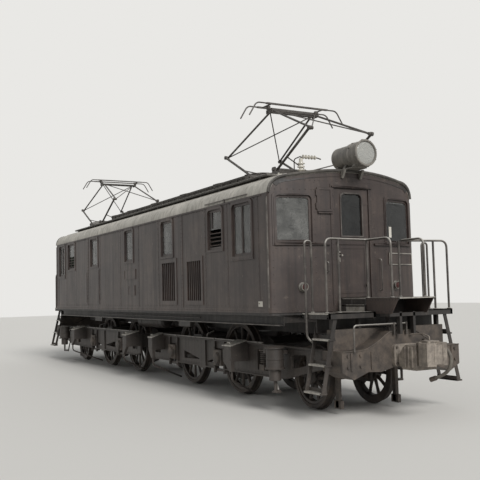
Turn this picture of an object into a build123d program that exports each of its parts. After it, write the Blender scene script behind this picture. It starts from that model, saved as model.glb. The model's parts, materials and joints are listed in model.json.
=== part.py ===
"""Box-cab electric locomotive on two articulated trucks, wheel arrangement 1-B+B-1.

Millimetres. X runs along the track, Y to the left of it, Z up. The origin is on the floor
under the middle of the locomotive, at the height of the wheel flanges' lowest points.
Both halves are alike after half a turn about Z, so each piece of the rear half is the
front one turned round.
"""
import os
from math import asin, cos, degrees, hypot, radians, sin, sqrt, tan
from build123d import *

os.makedirs("parts", exist_ok=True)

# Track and wheels
flange_depth = 28
wheel_back_half_gap = 495          # half the distance between the wheels' backs, 1067 mm gauge
tyre_width = 128
driver_radius = 625
leader_radius = 465
driver_x = [1500, 3450]
leader_x = 5640
axle_radius = 80
journal_radius = 60
journal_end_y = 1075
running_clearance = 0.05

# Carbody
body_half_width = 1370
nose_x = 5960                      # the bowed end's foremost point
bow_radius = 4400
corner_radius = 55
wall = 60                          # whole wall: outer sheet, posts and lining
wall_bottom_z = 1468
eave_z = 3240                      # where the side turns into the roof's cove
gutter_half_width = 1080
gutter_z = 3503
crown_z = 3603
roof_skin = 40
floor_thickness = 38
end_wall_depth = 5560              # X where the side panels meet the end panels
seam = 0.3                         # joint between neighbouring body panels

# End door
door_width = 640
door_bottom_z = 1668
door_top_z = 3312
door_thickness = 40
door_gap = 8

# Trucks
pivot_x = 2475
centre_plate_z = 1180              # where the body rests on the truck's centre bearing
pivot_pin_radius = 90
pivot_pin_z = 1120
frame_y = 985                      # middle of the side frame plate
frame_thickness = 50
frame_top_z = 968
frame_bottom_z = 578
frame_inner_x = 330
frame_outer_x = 6550
frame_inner_y = frame_y - frame_thickness / 2
frame_outer_y = frame_y + frame_thickness / 2

# Decks on the trucks
deck_z = 1658                      # top of the raised middle platform
landing_z = 1468                   # top of the side landings
deck_half_width = 320
deck_front_x = 7250
deck_rear_x = nose_x + 70
landing_x = [6200, 6700]
landing_half_width = 1100

# Pantographs
pan_x = 4410
pan_y = 600
pan_base_half = 400
pan_base_z = 3760
pan_knee_half = 1355
pan_knee_z = 4258
pan_apex_half = 60
pan_tube = 34
pan_thin = 20


def block(x, y, z):
    """Box that spans the given pairs of X, Y and Z."""
    size = [abs(x[1] - x[0]), abs(y[1] - y[0]), abs(z[1] - z[0])]
    return Pos(sum(x) / 2, sum(y) / 2, sum(z) / 2) * Box(*size)


def rod(start, end, diameter):
    """Round bar between two points."""
    start = Vector(*start)
    end = Vector(*end)
    plane = Plane(origin=start, z_dir=end - start)
    return Solid.make_cylinder(diameter / 2, (end - start).length, plane)


def disc_x(x, y, z, radius):
    """Cylinder along X, between the pair of X."""
    return rod((x[0], y, z), (x[1], y, z), 2 * radius)


def disc_y(x, y, z, radius):
    """Cylinder along Y, between the pair of Y."""
    return rod((x, y[0], z), (x, y[1], z), 2 * radius)


def disc_z(x, y, z, radius):
    """Cylinder along Z, between the pair of Z."""
    return rod((x, y, z[0]), (x, y, z[1]), 2 * radius)


def bent_tube(points, radius, diameter):
    """Round tube along straight runs with one bend radius."""
    path = FilletPolyline(*points, radius=radius)
    plane = Plane(origin=path @ 0, z_dir=path % 0)
    return sweep(plane * Circle(diameter / 2), path=path)


def plate_y(points, y, holes=()):
    """Flat plate across Y between the pair of Y, from an outline of X and Z and its holes."""
    face = Plane.XZ * make_face(Polyline(*points, close=True))
    solid = extrude(face, amount=-(y[1] - y[0]))
    solid = Pos(0, y[0], 0) * solid
    for x, z in holes:
        solid -= block(x, (y[0] - 1, y[1] + 1), z)
    return solid


def both_sides(shape):
    """The shape and its mirror image in the middle plane."""
    return [shape, mirror(shape, about=Plane.XZ)]


def half_turn(shapes):
    """The shapes turned to the other end of the locomotive."""
    return [Rot(0, 0, 180) * shape for shape in shapes]


def write(node, shapes):
    """Writes one node's solids."""
    solids = []
    for shape in shapes:
        solids += shape.solids()
    export_step(Compound(children=solids), "parts/" + node + ".step")


def write_ends(node, shapes):
    """Writes a front node and its twin at the rear."""
    write(node + "_front", shapes)
    write(node + "_rear", half_turn(shapes))


def fuse(shapes):
    """One solid from pieces that are welded or cast together."""
    first, *rest = shapes
    return first.fuse(*rest)


# Body shell
def plan(inset):
    """Plan outline of the body: straight sides, bowed ends and rounded corners."""
    half_width = body_half_width - inset
    radius = bow_radius - inset
    nose = nose_x - inset
    side_x = nose - radius + sqrt(radius**2 - half_width**2)
    front = ThreePointArc((side_x, -half_width), (nose, 0), (side_x, half_width))
    rear = ThreePointArc((-side_x, half_width), (-nose, 0), (-side_x, -half_width))
    left = Line(front @ 1, rear @ 0)
    right = Line(rear @ 1, front @ 0)
    face = make_face([front, left, rear, right])
    return fillet(face.vertices(), max(corner_radius - inset, 10))


def bowed_block(inset, z):
    """Block between the bowed ends, wider than the body."""
    half_width = body_half_width + 60
    radius = bow_radius - inset
    nose = nose_x - inset
    side_x = nose - radius + sqrt(radius**2 - half_width**2)
    front = ThreePointArc((side_x, -half_width), (nose, 0), (side_x, half_width))
    rear = ThreePointArc((-side_x, half_width), (-nose, 0), (-side_x, -half_width))
    face = make_face([front, Line(front @ 1, rear @ 0), rear, Line(rear @ 1, front @ 0)])
    return Pos(0, 0, z[0]) * extrude(face, amount=z[1] - z[0])


def section(inset, bottom_z):
    """Cross-section of the body: upright sides, coved roof edge and arched crown."""
    half_width = body_half_width - inset
    gutter = gutter_half_width - inset * 0.4
    top = crown_z - inset
    edge_z = gutter_z - inset
    drop = edge_z - eave_z
    reach = half_width - gutter
    middle = (half_width - reach * (1 - cos(radians(45))), eave_z + drop * sin(radians(45)))
    points = [(half_width, eave_z), middle, (gutter, edge_z)]
    cove_left = ThreePointArc(*points)
    crown = ThreePointArc((gutter, edge_z), (0, top), (-gutter, edge_z))
    cove_right = ThreePointArc(*[(-y, z) for y, z in reversed(points)])
    sides = Polyline((-half_width, eave_z), (-half_width, bottom_z), (half_width, bottom_z),
                     (half_width, eave_z))
    face = make_face([cove_left, crown, cove_right, sides])
    return extrude(Plane.YZ * face, amount=nose_x + 200, both=True)


body_height = crown_z - wall_bottom_z + 100
shell_outer = Pos(0, 0, wall_bottom_z) * extrude(plan(0), amount=body_height)
shell_inner = Pos(0, 0, wall_bottom_z - 1) * extrude(plan(wall), amount=body_height + 2)
shell = shell_outer - shell_inner

# Side wall openings, front half and rear half of the right side: X from, X to, Z from, Z to
side_windows = [
    (4650, 5255, 2345, 3165),
    (3790, 4295, 2500, 3165),
    (1775, 2300, 2500, 3165),
    (-240, 240, 2500, 3165),
    (-2640, -2100, 2500, 3165),
    (-4580, -3975, 2500, 3165),
    (-5420, -4900, 2345, 3165),
]
louvre_windows = [1, 5]
side_grilles = [
    (2910, 3520, 1630, 2380),
    (1775, 2430, 1630, 2400),
]
side_covers = [
    (-2720, -2020, 1630, 2400),
    (-3800, -2945, 1630, 2380),
]
window_corner = 70


def opening(x, z, y):
    """Cutter with rounded upper corners."""
    outline = Plane.XZ * (Pos(sum(x) / 2, sum(z) / 2) * Rectangle(x[1] - x[0], z[1] - z[0]))
    cutter = Pos(0, y[1], 0) * extrude(outline, amount=y[1] - y[0])
    upper = cutter.edges().filter_by(Axis.Y).sort_by(Axis.Z)[-2:]
    return fillet(upper, window_corner)


side_y = (-body_half_width, -body_half_width + wall)
cut_y = (side_y[0] - 50, side_y[1] + 50)


def make_side_wall():
    """Right side wall with its windows, ventilation openings and belt mouldings."""
    side_panel = block((-end_wall_depth, end_wall_depth), side_y, (wall_bottom_z, eave_z - seam))
    for x0, x1, z0, z1 in side_windows:
        side_panel -= opening((x0, x1), (z0, z1), cut_y)
    for x0, x1, z0, z1 in side_grilles:
        side_panel -= block((x0, x1), cut_y, (z0, z1))
    outer = side_y[0]
    eave_bead = block((-end_wall_depth, end_wall_depth), (outer - 14, outer), (eave_z - 30, eave_z - 10))
    foot_strip = block((-end_wall_depth, end_wall_depth), (outer - 8, outer), (wall_bottom_z, wall_bottom_z + 70))
    seams = [block((x - 45, x + 45), (outer - 6, outer), (wall_bottom_z + 70, eave_z - 30)) for x in panel_seams]
    return fuse([side_panel, eave_bead, foot_strip, *seams])


panel_seams = [-2850, 2700]
side_wall = make_side_wall()
write("side_wall_right", [side_wall])
write("side_wall_left", half_turn([side_wall]))

# Window frames and panes
frame_bar = 42
sash_depth = 30
glass_thickness = 8
proud = 16


def framed(x0, x1, z0, z1):
    """Moulding round one side window with its sash, and the pane inside it."""
    outer = side_y[0]
    ring = opening((x0 - frame_bar, x1 + frame_bar), (z0 - frame_bar, z1 + frame_bar), (outer - proud, outer))
    ring -= opening((x0, x1), (z0, z1), (outer - 40, outer + 20))
    sash_y = (outer + 12, outer + 12 + sash_depth)
    sash = opening((x0, x1), (z0, z1), sash_y)
    sash -= block((x0 + frame_bar, x1 - frame_bar), (outer, outer + 60), (z0 + frame_bar, z1 - frame_bar))
    return ring, sash


window_frames = []
panes = []
louvres = []
louvre_pitch = 66
for index, (x0, x1, z0, z1) in enumerate(side_windows):
    ring, sash = framed(x0, x1, z0, z1)
    window_frames += [ring, sash]
    pane_y = side_y[0] + 12 + sash_depth / 2
    inner_x = (x0 + frame_bar, x1 - frame_bar)
    inner_z = (z0 + frame_bar, z1 - frame_bar)
    if index in louvre_windows:
        middle_z = z0 + (z1 - z0) / 2
        slats = int((middle_z - inner_z[0]) / louvre_pitch)
        for k in range(slats):
            z = inner_z[0] + (k + 0.5) * louvre_pitch
            slat = Pos((x0 + x1) / 2, pane_y, z) * (Rot(35, 0, 0) * Box(inner_x[1] - inner_x[0], 34, 8))
            louvres.append(slat)
        inner_z = (middle_z, inner_z[1])
    pane_half = glass_thickness / 2
    panes.append(block(inner_x, (pane_y - pane_half, pane_y + pane_half), inner_z))

# Ventilation grilles: frame and upright slats
slat_pitch = 76
for x0, x1, z0, z1 in side_grilles:
    outer = side_y[0]
    grille = block((x0 - 45, x1 + 45), (outer - 12, outer), (z0 - 45, z1 + 45))
    grille -= block((x0 + 30, x1 - 30), (outer - 20, outer + 5), (z0 + 30, z1 - 30))
    backing = block((x0, x1), (outer, outer + 30), (z0, z1))
    backing -= block((x0 + 30, x1 - 30), (outer - 5, outer + 40), (z0 + 30, z1 - 30))
    count = int((x1 - x0 - 60) / slat_pitch)
    step = (x1 - x0 - 60) / count
    slats = []
    for k in range(1, count):
        x = x0 + 30 + k * step
        slats.append(block((x - 9, x + 9), (outer - 6, outer + 24), (z0 + 25, z1 - 25)))
    louvres.append(fuse([grille, backing, *slats]))
for x0, x1, z0, z1 in side_covers:
    outer = side_y[0]
    cover = block((x0, x1), (outer - 12, outer), (z0, z1))
    rim = block((x0 - 40, x1 + 40), (outer - 7, outer), (z0 - 40, z1 + 40))
    louvres.append(fuse([cover, rim]))

# End wall, front: windows are half-width pairs of Y and Z
end_windows = [(-1270, -710, 2500, 3195), (710, 1270, 2500, 3195)]
end_cut = (nose_x - 400, nose_x + 100)


def end_opening(y, z, x, corner):
    """Cutter through the end wall with rounded upper corners."""
    outline = Plane.YZ * (Pos(sum(y) / 2, sum(z) / 2) * Rectangle(y[1] - y[0], z[1] - z[0]))
    cutter = Pos(x[0], 0, 0) * extrude(outline, amount=x[1] - x[0])
    upper = cutter.edges().filter_by(Axis.X).sort_by(Axis.Z)[-2:]
    return fillet(upper, corner)


def skin(inner, outer, bottom_z, top_z):
    """Sheet that follows the bowed end, between two insets of the body's plan."""
    sheet = extrude(plan(inner), amount=top_z - bottom_z) - extrude(plan(outer), amount=top_z - bottom_z)
    return Pos(0, 0, bottom_z) * sheet


front_half = block((end_wall_depth, nose_x + 200), (-1500, 1500), (wall_bottom_z - 1, crown_z + 200))
below_roof = section(roof_skin, wall_bottom_z - 100)
corner_zone = block((end_wall_depth + seam, nose_x + 100), (-1500, 1500), (wall_bottom_z, crown_z))
end_wall = shell & corner_zone
below_cove = block((0, nose_x + 100), (-1500, 1500), (wall_bottom_z, eave_z - seam))
end_wall = (end_wall & below_cove) + (end_wall & below_roof)
for y0, y1, z0, z1 in end_windows:
    end_wall -= end_opening((y0, y1), (z0, z1), end_cut, window_corner)
door_opening = (-door_width / 2 - door_gap, door_width / 2 + door_gap)
end_wall -= block(end_cut, door_opening, (door_bottom_z - door_gap, door_top_z + door_gap))

# Raised mouldings on the end: post strips beside the door, window frames, foot strip
raised = skin(-10, 1, wall_bottom_z, crown_z - roof_skin - 60)
door_strips = raised & block(end_cut, (-door_width / 2 - 70, door_width / 2 + 70), (wall_bottom_z, door_top_z + 66))
door_strips -= block(end_cut, door_opening, (wall_bottom_z - 10, door_top_z + door_gap))
foot = raised & block((end_wall_depth + seam, nose_x + 100), (-1500, 1500), (wall_bottom_z, wall_bottom_z + 70))
corner_bead = [disc_z(end_wall_depth + 150, y, (wall_bottom_z, eave_z - 60), 16) for y in (-1368, 1368)]
trim = [door_strips, foot, *corner_bead]
for y0, y1, z0, z1 in end_windows:
    ring = raised & end_opening((y0 - frame_bar, y1 + frame_bar), (z0 - frame_bar, z1 + frame_bar), end_cut,
                                window_corner)
    trim.append(ring - end_opening((y0, y1), (z0, z1), end_cut, window_corner))
end_wall = fuse([end_wall, *trim])
write_ends("end_wall", [end_wall])

end_panes = skin(26, 26 + glass_thickness, 2500, 3195)
for y0, y1, z0, z1 in end_windows:
    panes.append(end_panes & end_opening((y0, y1), (z0, z1), end_cut, window_corner))
write("window_frames", window_frames + half_turn(window_frames))
write("grilles", louvres + half_turn(louvres))

# Roof skin with rain strips
roof_zone = block((-nose_x - 50, nose_x + 50), (-1500, 1500), (eave_z, crown_z + 50))
roof = (section(0, wall_bottom_z) - section(roof_skin, wall_bottom_z - 100)) & roof_zone
roof = roof & bowed_block(0, (eave_z - 10, crown_z + 100))
gutters = [block((-5640, 5640), (side * gutter_half_width - 12, side * gutter_half_width + 12),
                 (gutter_z - 20, gutter_z + 22)) for side in (-1, 1)]
write("roof", [fuse([roof, *gutters])])

# Floor and underframe
sill_y = (1150, 1240)
sill_z = (1278, wall_bottom_z - floor_thickness - seam)
sill_x = 5780
flange = 16
inner_plan = Pos(0, 0, wall_bottom_z - floor_thickness) * extrude(plan(2), amount=floor_thickness - seam)
sills = []
for side in (-1, 1):
    web = block((-sill_x, sill_x), (side * sill_y[0], side * (sill_y[0] + flange)), (sill_z[0], sill_z[1] + 1))
    foot_flange = block((-sill_x, sill_x), (side * sill_y[0], side * sill_y[1]), (sill_z[0], sill_z[0] + flange))
    head_flange = block((-sill_x, sill_x), (side * sill_y[0], side * sill_y[1]),
                        (sill_z[1] - flange, sill_z[1] + 1))
    sills += [web, foot_flange, head_flange]
    # Gusset and jacking brackets under the sill at the body bolsters
    for x in (-pivot_x, pivot_x):
        gusset = block((x - 250, x + 250), (side * sill_y[0], side * sill_y[1]), (sill_z[0] - 90, sill_z[0] + 1))
        sills.append(gusset)
cross_bearer_x = [-sill_x + 30, -4500, 4500, sill_x - 30]
bearers = [block((x - 30, x + 30), (-sill_y[0], sill_y[0]), (sill_z[0] + 40, sill_z[1] + 1)) for x in cross_bearer_x]
bolsters = [block((x - 150, x + 150), (-sill_y[0], sill_y[0]), (sill_z[0] + 40, sill_z[1] + 1))
            for x in (-pivot_x, pivot_x)]
pins = [disc_z(x, 0, (pivot_pin_z, sill_z[0] + 60), pivot_pin_radius) for x in (-pivot_x, pivot_x)]
plates = [disc_z(x, 0, (centre_plate_z, sill_z[0] + 60), 240) for x in (-pivot_x, pivot_x)]
write("underframe", [fuse([inner_plan, *sills, *bearers, *bolsters, *pins, *plates])])

# Bulkheads behind the cabs and the closed machinery between them
bulkhead_x = 4480
bulkhead_half = body_half_width - wall - seam
room_floor = wall_bottom_z
room_top = eave_z - seam
bulkhead = block((bulkhead_x, bulkhead_x + 40), (-bulkhead_half, bulkhead_half), (room_floor, room_top))
bulkhead -= block((bulkhead_x - 5, bulkhead_x + 45), (-300, 300), (room_floor + 60, room_floor + 1900 - 200))
write("bulkheads", [bulkhead, *half_turn([bulkhead])])
write("machinery", [block((-4000, 4000), (-760, 760), (room_floor, 2900))])

# Driver's desk and seat in each cab
desk = block((5250, 5560), (350, 1150), (room_floor, 2380))
controller = disc_z(5405, 750, (2380, 2460), 130)
seat_post = disc_z(4850, 750, (room_floor, 1930), 45)
seat = block((4650, 5040), (550, 950), (1930, 2010))
seat_back = block((4650, 4700), (560, 940), (2010, 2420))
cab_fittings = [fuse([desk, controller]), fuse([seat_post, seat, seat_back])]
write("cab_fittings", cab_fittings + half_turn(cab_fittings))


# End door, hinged at its left edge and opening into the cab
door_x = nose_x - wall + 4
door_glass = (-190, 190, 2600, 3235)


def make_door():
    """Door leaf with its window, ledge and handle."""
    leaf = block((door_x, door_x + door_thickness), (-door_width / 2, door_width / 2), (door_bottom_z, door_top_z))
    y0, y1, z0, z1 = door_glass
    cut = (door_x - 20, door_x + door_thickness + 40)
    leaf -= end_opening((y0, y1), (z0, z1), cut, window_corner)
    ring = end_opening((y0 - 26, y1 + 26), (z0 - 26, z1 + 26), (door_x + door_thickness - 1, door_x + door_thickness + 9),
                       window_corner)
    ring -= end_opening((y0, y1), (z0, z1), cut, window_corner)
    face_x = door_x + door_thickness
    handle_y = -door_width / 2 + 60
    handle = rod((face_x - 1, handle_y, 2330), (face_x + 66, handle_y, 2330), 24)
    grip = rod((face_x + 50, handle_y, 2332), (face_x + 50, handle_y, 2200), 18)
    return fuse([leaf, ring, handle, grip])


write_ends("end_door", [make_door()])
pane_x = door_x + door_thickness / 2
door_pane = end_opening(door_glass[:2], door_glass[2:], (pane_x - 4, pane_x + 4), window_corner)
write_ends("door_glass", [door_pane])

# Lamps: drum headlight on the roof's front edge, two marker lamps on the end
headlight_z = 3808
headlight_radius = 190
headlight_x = (5700, 6020)


def end_face_x(y):
    """X of the end wall's outer face at the given Y."""
    return nose_x - bow_radius + sqrt(bow_radius**2 - y**2)


drum = disc_x(headlight_x, 0, headlight_z, headlight_radius)
drum -= disc_x((headlight_x[1] - 60, headlight_x[1] + 1), 0, headlight_z, headlight_radius - 18)
rim = disc_x((headlight_x[1] - 22, headlight_x[1]), 0, headlight_z, headlight_radius + 12)
rim -= disc_x((headlight_x[1] - 40, headlight_x[1] + 1), 0, headlight_z, headlight_radius - 18)
case = disc_x((headlight_x[0] - 150, headlight_x[0] + 1), 0, headlight_z, 165)
vent = disc_x((headlight_x[0] + 40, headlight_x[0] + 110), 0, headlight_z, headlight_radius + 14)
lamp_base = block((5560, 5900), (-150, 150), (crown_z + seam, crown_z + 24))
lamp_feet = [block((x - 30, x + 30), (-120, 120), (crown_z + 10, headlight_z - 120)) for x in (5630, 5840)]
lamps = [fuse([drum, rim, case, vent, lamp_base, *lamp_feet])]
body_hull = Pos(0, 0, wall_bottom_z) * extrude(plan(-seam), amount=body_height)
marker_z = 1838
marker_y = 880
lenses = [disc_x((headlight_x[1] - 60, headlight_x[1] - 50), 0, headlight_z, headlight_radius - 18)]
for y in (-marker_y, marker_y):
    face_x = end_face_x(y)
    marker = disc_x((face_x - 30, face_x + 70), y, marker_z, 62) - body_hull
    lamps.append(marker - disc_x((face_x + 50, face_x + 71), y, marker_z, 50))
    lenses.append(disc_x((face_x + 50, face_x + 58), y, marker_z, 50))
write("lamps", lamps + half_turn(lamps))
panes += lenses
write("glazing", panes + half_turn(panes))

# Raised ventilation hatches along the middle of the roof, and the walkways beside them
hatch_half_width = 500
hatch_z = 3860
hatch_rise = 70
hatches = [(-3560, -2420), (-2320, -860), (-760, 760), (860, 2320), (2420, 3560)]
roof_radius = (gutter_half_width**2 + (crown_z - gutter_z)**2) / (2 * (crown_z - gutter_z))


def roof_top(y):
    """Height of the roof's outer face at the given Y, on the crown."""
    return crown_z - roof_radius + sqrt(roof_radius**2 - y**2)


hatch_foot = roof_top(0)
crown_hull = section(-seam, wall_bottom_z)
roof_items = []
for x0, x1 in hatches:
    outline = make_face([
        Polyline((hatch_half_width, hatch_z), (hatch_half_width, roof_top(hatch_half_width) - 40),
                 (-hatch_half_width, roof_top(hatch_half_width) - 40), (-hatch_half_width, hatch_z)),
        ThreePointArc((-hatch_half_width, hatch_z), (0, hatch_z + hatch_rise), (hatch_half_width, hatch_z)),
    ])
    box = Pos(x0, 0, 0) * extrude(Plane.YZ * outline, amount=x1 - x0)
    roof_items.append(box - crown_hull)
walk_y = (760, 1010)
walk_z = 3590
walk_x = 5150
for side in (-1, 1):
    board = block((-walk_x, walk_x), (side * walk_y[0], side * walk_y[1]), (walk_z, walk_z + 26))
    feet = [block((x - 25, x + 25), (side * (walk_y[0] + 20), side * (walk_y[1] - 20)), (gutter_z, walk_z + 1))
            for x in range(-4900, 4901, 1400)]
    feet = [foot - crown_hull for foot in feet]
    roof_items.append(fuse([board, *feet]))
write("roof_equipment", roof_items)

# Pantographs: a diamond of two lower and two upper frames with the collector head on top
lower_length = hypot(pan_knee_half - pan_base_half, pan_knee_z - pan_base_z)
upper_length = lower_length + pan_base_half - pan_apex_half
upper_run = pan_knee_half - pan_apex_half
pan_apex_z = pan_knee_z + sqrt(upper_length**2 - upper_run**2)
pan_clear = 8
pan_rail_z = (pan_base_z - 100, pan_base_z - 46)
base_shaft_radius = 28
upper_y = pan_y - pan_tube - pan_clear
knee_pin_radius = 14
apex_pin_radius = 18
cheek_y = 470
open_pivot_clearance = 6


def make_base():
    """Roof-mounted base frame with the four bearings of the lower frames."""
    rails = []
    for y in (-pan_y - 60, pan_y + 60):
        rails.append(block((-620, 620), (y - 30, y + 30), pan_rail_z))
    for x in (-580, 0, 580):
        rails.append(block((x - 30, x + 30), (-pan_y - 60, pan_y + 60), pan_rail_z))
    for x in (-pan_base_half, pan_base_half):
        for y in (-pan_y - 60, pan_y + 60):
            ear = block((x - 40, x + 40), (y - 14, y + 14), (pan_rail_z[1] - 10, pan_base_z + 40))
            rails.append(ear - disc_y(x, (y - 30, y + 30), pan_base_z, base_shaft_radius + running_clearance))
    return fuse(rails)


def make_lower():
    """Lower frame: base shaft, two tubes to the knees and a cross brace near the shaft."""
    base = (pan_base_half, pan_base_z)
    knee = (pan_knee_half, pan_knee_z)
    shaft = disc_y(base[0], (-pan_y - 90, pan_y + 90), base[1], base_shaft_radius)
    pieces = [shaft]
    for y in (-pan_y, pan_y):
        pieces.append(rod((base[0], y, base[1]), (knee[0], y, knee[1]), pan_tube + 8))
        pieces.append(disc_y(knee[0], (y - 22, y + 22), knee[1], 34))
    mid = (base[0] + 0.32 * (knee[0] - base[0]), base[1] + 0.32 * (knee[1] - base[1]))
    for y in (-pan_y, pan_y):
        pieces.append(rod((base[0], 0, base[1]), (mid[0], y, mid[1]), pan_thin))
    return fuse(pieces) - disc_y(knee[0], (-pan_y - 60, pan_y + 60), knee[1], knee_pin_radius + running_clearance)


def make_upper():
    """Upper frame: two tubes from knee to apex and two crossing diagonals."""
    knee = (pan_knee_half, pan_knee_z)
    apex = (pan_apex_half, pan_apex_z)
    apex_y = 420
    pieces = []
    for y in (-1, 1):
        foot = (knee[0], y * upper_y, knee[1])
        top = (apex[0], y * apex_y, apex[1])
        far = (apex[0], -y * apex_y, apex[1])
        pieces.append(rod(foot, top, pan_tube))
        pieces.append(rod(foot, far, pan_thin))
        pieces.append(disc_y(knee[0], (y * upper_y - 18, y * upper_y + 18), knee[1], 28))
        pieces.append(disc_y(knee[0], sorted((y * upper_y, y * (pan_y + 30))), knee[1], knee_pin_radius))
    pieces.append(disc_y(apex[0], (-cheek_y - 18, cheek_y + 18), apex[1], apex_pin_radius))
    return fuse(pieces)


def make_head():
    """Collector head: two contact strips with down-turned horns on short posts."""
    strip_z = pan_apex_z + 90
    horn_y = 620
    pieces = []
    for x in (-150, 150):
        pieces.append(block((x - 22, x + 22), (-horn_y, horn_y), (strip_z - 12, strip_z + 12)))
        for side in (-1, 1):
            pieces.append(bent_tube([(x, side * (horn_y - 20), strip_z), (x, side * (horn_y + 190), strip_z),
                                     (x, side * (horn_y + 330), strip_z - 230)], 120, 24))
    for y in (-520, 520):
        pieces.append(block((-150, 150), (y - 12, y + 12), (strip_z - 12, strip_z + 6)))
    for side in (-1, 1):
        cheek = (side * (cheek_y - 10), side * (cheek_y + 10))
        pieces.append(block((-95, 95), cheek, (pan_apex_z - 32, pan_apex_z + 32)))
        pieces.append(block((-20, 20), (side * (cheek_y - 10), side * (cheek_y + 50)), (pan_apex_z + 24, strip_z)))
    head = fuse(pieces)
    # The rear upper frame's pivot, where the closed linkage is opened, has room to drift
    bore_y = (-cheek_y - 20, cheek_y + 20)
    head -= disc_y(pan_apex_half, bore_y, pan_apex_z, apex_pin_radius + running_clearance)
    head -= disc_y(-pan_apex_half, bore_y, pan_apex_z, apex_pin_radius + open_pivot_clearance)
    return head


def place_pantographs():
    """Writes both pantographs; the rear one is the front one turned round."""
    pieces = {"base": make_base(), "lower_front": make_lower(), "upper_front": make_upper(), "head": make_head()}
    pieces["lower_rear"] = Rot(0, 0, 180) * pieces["lower_front"]
    pieces["upper_rear"] = Rot(0, 0, 180) * pieces["upper_front"]
    at_front = {name: Pos(pan_x, 0, 0) * piece for name, piece in pieces.items()}
    bases = [at_front.pop("base")]
    write("pantograph_bases", bases + half_turn(bases))
    for name, piece in at_front.items():
        write("pan_front_" + name, [piece])
        write("pan_rear_" + name, half_turn([piece]))


place_pantographs()

# Porcelain insulators under the pantograph bases and one bushing beside the front one
insulator_z = pan_rail_z[0] - seam
insulators = []
for x in (-580, 580):
    for y in (-pan_y - 60, pan_y + 60):
        foot = roof_top(abs(y))
        stem = disc_z(pan_x + x, y, (foot - 20, insulator_z), 42)
        skirt = disc_z(pan_x + x, y, (foot + 30, foot + 50), 72)
        insulators.append(fuse([stem, skirt]) - crown_hull)
bushing_x = 5330
bushing_y = -330
bushing = fuse([disc_z(bushing_x, bushing_y, (roof_top(bushing_y) - 20, 3800), 26),
                *[disc_z(bushing_x, bushing_y, (z, z + 22), 48) for z in (3640, 3700)]]) - crown_hull
insulators.append(bushing)
write("insulators", insulators + half_turn(insulators))

# Truck side frame: plate with window openings, built from its outline
window_z = (653, 843)
frame_windows = [((5960, 6300), window_z), ((4560, 4990), window_z), ((2160, 2380), window_z),
                 ((2570, 2790), window_z), ((520, 760), window_z)]
pedestal_gap = 150
axle_z = {x: flange_depth + driver_radius for x in driver_x}
axle_z[leader_x] = flange_depth + leader_radius


def make_side_frame():
    """Right-hand frame plate with pedestals at the three axles."""
    outline = [
        (frame_inner_x, frame_bottom_z + 60), (frame_inner_x, frame_top_z), (frame_outer_x, frame_top_z),
        (frame_outer_x, frame_bottom_z + 60), (frame_outer_x - 250, frame_bottom_z),
        (leader_x + 320, frame_bottom_z), (leader_x + 250, 330), (leader_x - 250, 330),
        (leader_x - 320, frame_bottom_z), (frame_inner_x + 260, frame_bottom_z),
    ]
    y = (-frame_outer_y, -frame_inner_y)
    lip = block((frame_inner_x, frame_outer_x), (y[0] - 40, y[0]), (frame_top_z - 20, frame_top_z))
    lower_lip = block((frame_inner_x + 260, leader_x - 320), (y[0] - 30, y[0]), (frame_bottom_z, frame_bottom_z + 20))
    plate = fuse([plate_y(outline, y, frame_windows), lip, lower_lip])
    ties = []
    for x in driver_x:
        plate -= block((x - pedestal_gap, x + pedestal_gap), (y[0] - 60, y[1] + 1), (frame_bottom_z - 1, 820))
        ties.append(block((x - pedestal_gap - 60, x + pedestal_gap + 60), y, (frame_bottom_z - 44, frame_bottom_z)))
    x = leader_x
    plate -= block((x - pedestal_gap, x + pedestal_gap), (y[0] - 1, y[1] + 1), (372, 700))
    return fuse([plate, *ties])


transoms = [
    block((420, 520), (-frame_inner_y, frame_inner_y), (frame_bottom_z + 60, frame_top_z - 30)),
    block((pivot_x - 170, pivot_x + 170), (-frame_inner_y, frame_inner_y), (frame_bottom_z + 60, frame_top_z + 60)),
    block((4560, 4700), (-frame_inner_y, frame_inner_y), (frame_bottom_z + 60, frame_top_z - 30)),
]
pivot_cup = disc_z(pivot_x, 0, (frame_top_z + 50, centre_plate_z - seam), 250)
pin_hole = disc_z(pivot_x, 0, (pivot_pin_z - 20, centre_plate_z + 20), pivot_pin_radius + running_clearance)
transoms[1] = fuse([transoms[1], pivot_cup]) - pin_hole
write_ends("side_frames", both_sides(make_side_frame()))

# Coupling between the trucks: a jaw on the front truck takes the rear truck's tongue
tongue_z = (740, 800)
tongue_gap = 12
jaw_arms = [block((-40, 421), (-110, 110), z) for z in
            ((tongue_z[0] - tongue_gap - 50, tongue_z[0] - tongue_gap), (tongue_z[1] + tongue_gap, tongue_z[1] + tongue_gap + 50))]
pin = disc_z(0, 0, (tongue_z[0] - tongue_gap - 60, tongue_z[1] + tongue_gap + 70), 38)
tongue = block((-421, 60), (-80, 80), tongue_z) - disc_z(0, 0, (tongue_z[0] - 5, tongue_z[1] + 5), 38 + tongue_gap)
front_transoms = [fuse([transoms[0], *jaw_arms, pin]), *transoms[1:]]
rear_transoms = half_turn(transoms)
rear_transoms[0] = fuse([rear_transoms[0], tongue])
write("transoms_front", front_transoms)
write("transoms_rear", rear_transoms)

# Cast end beam, its cover plate, rail guards and uncoupling rod
beam_x = (frame_outer_x + seam, 7000)
beam_half = 1050
beam_top_z = 1203
cover_top_z = 1240
pocket_top_z = 1160
beam_profile = [(0, beam_top_z), (230, beam_top_z), (460, 1060), (690, 962), (beam_half, 962), (beam_half, 682), (860, 580),
                (610, 670), (400, 655), (170, 707), (0, 707)]


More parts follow.
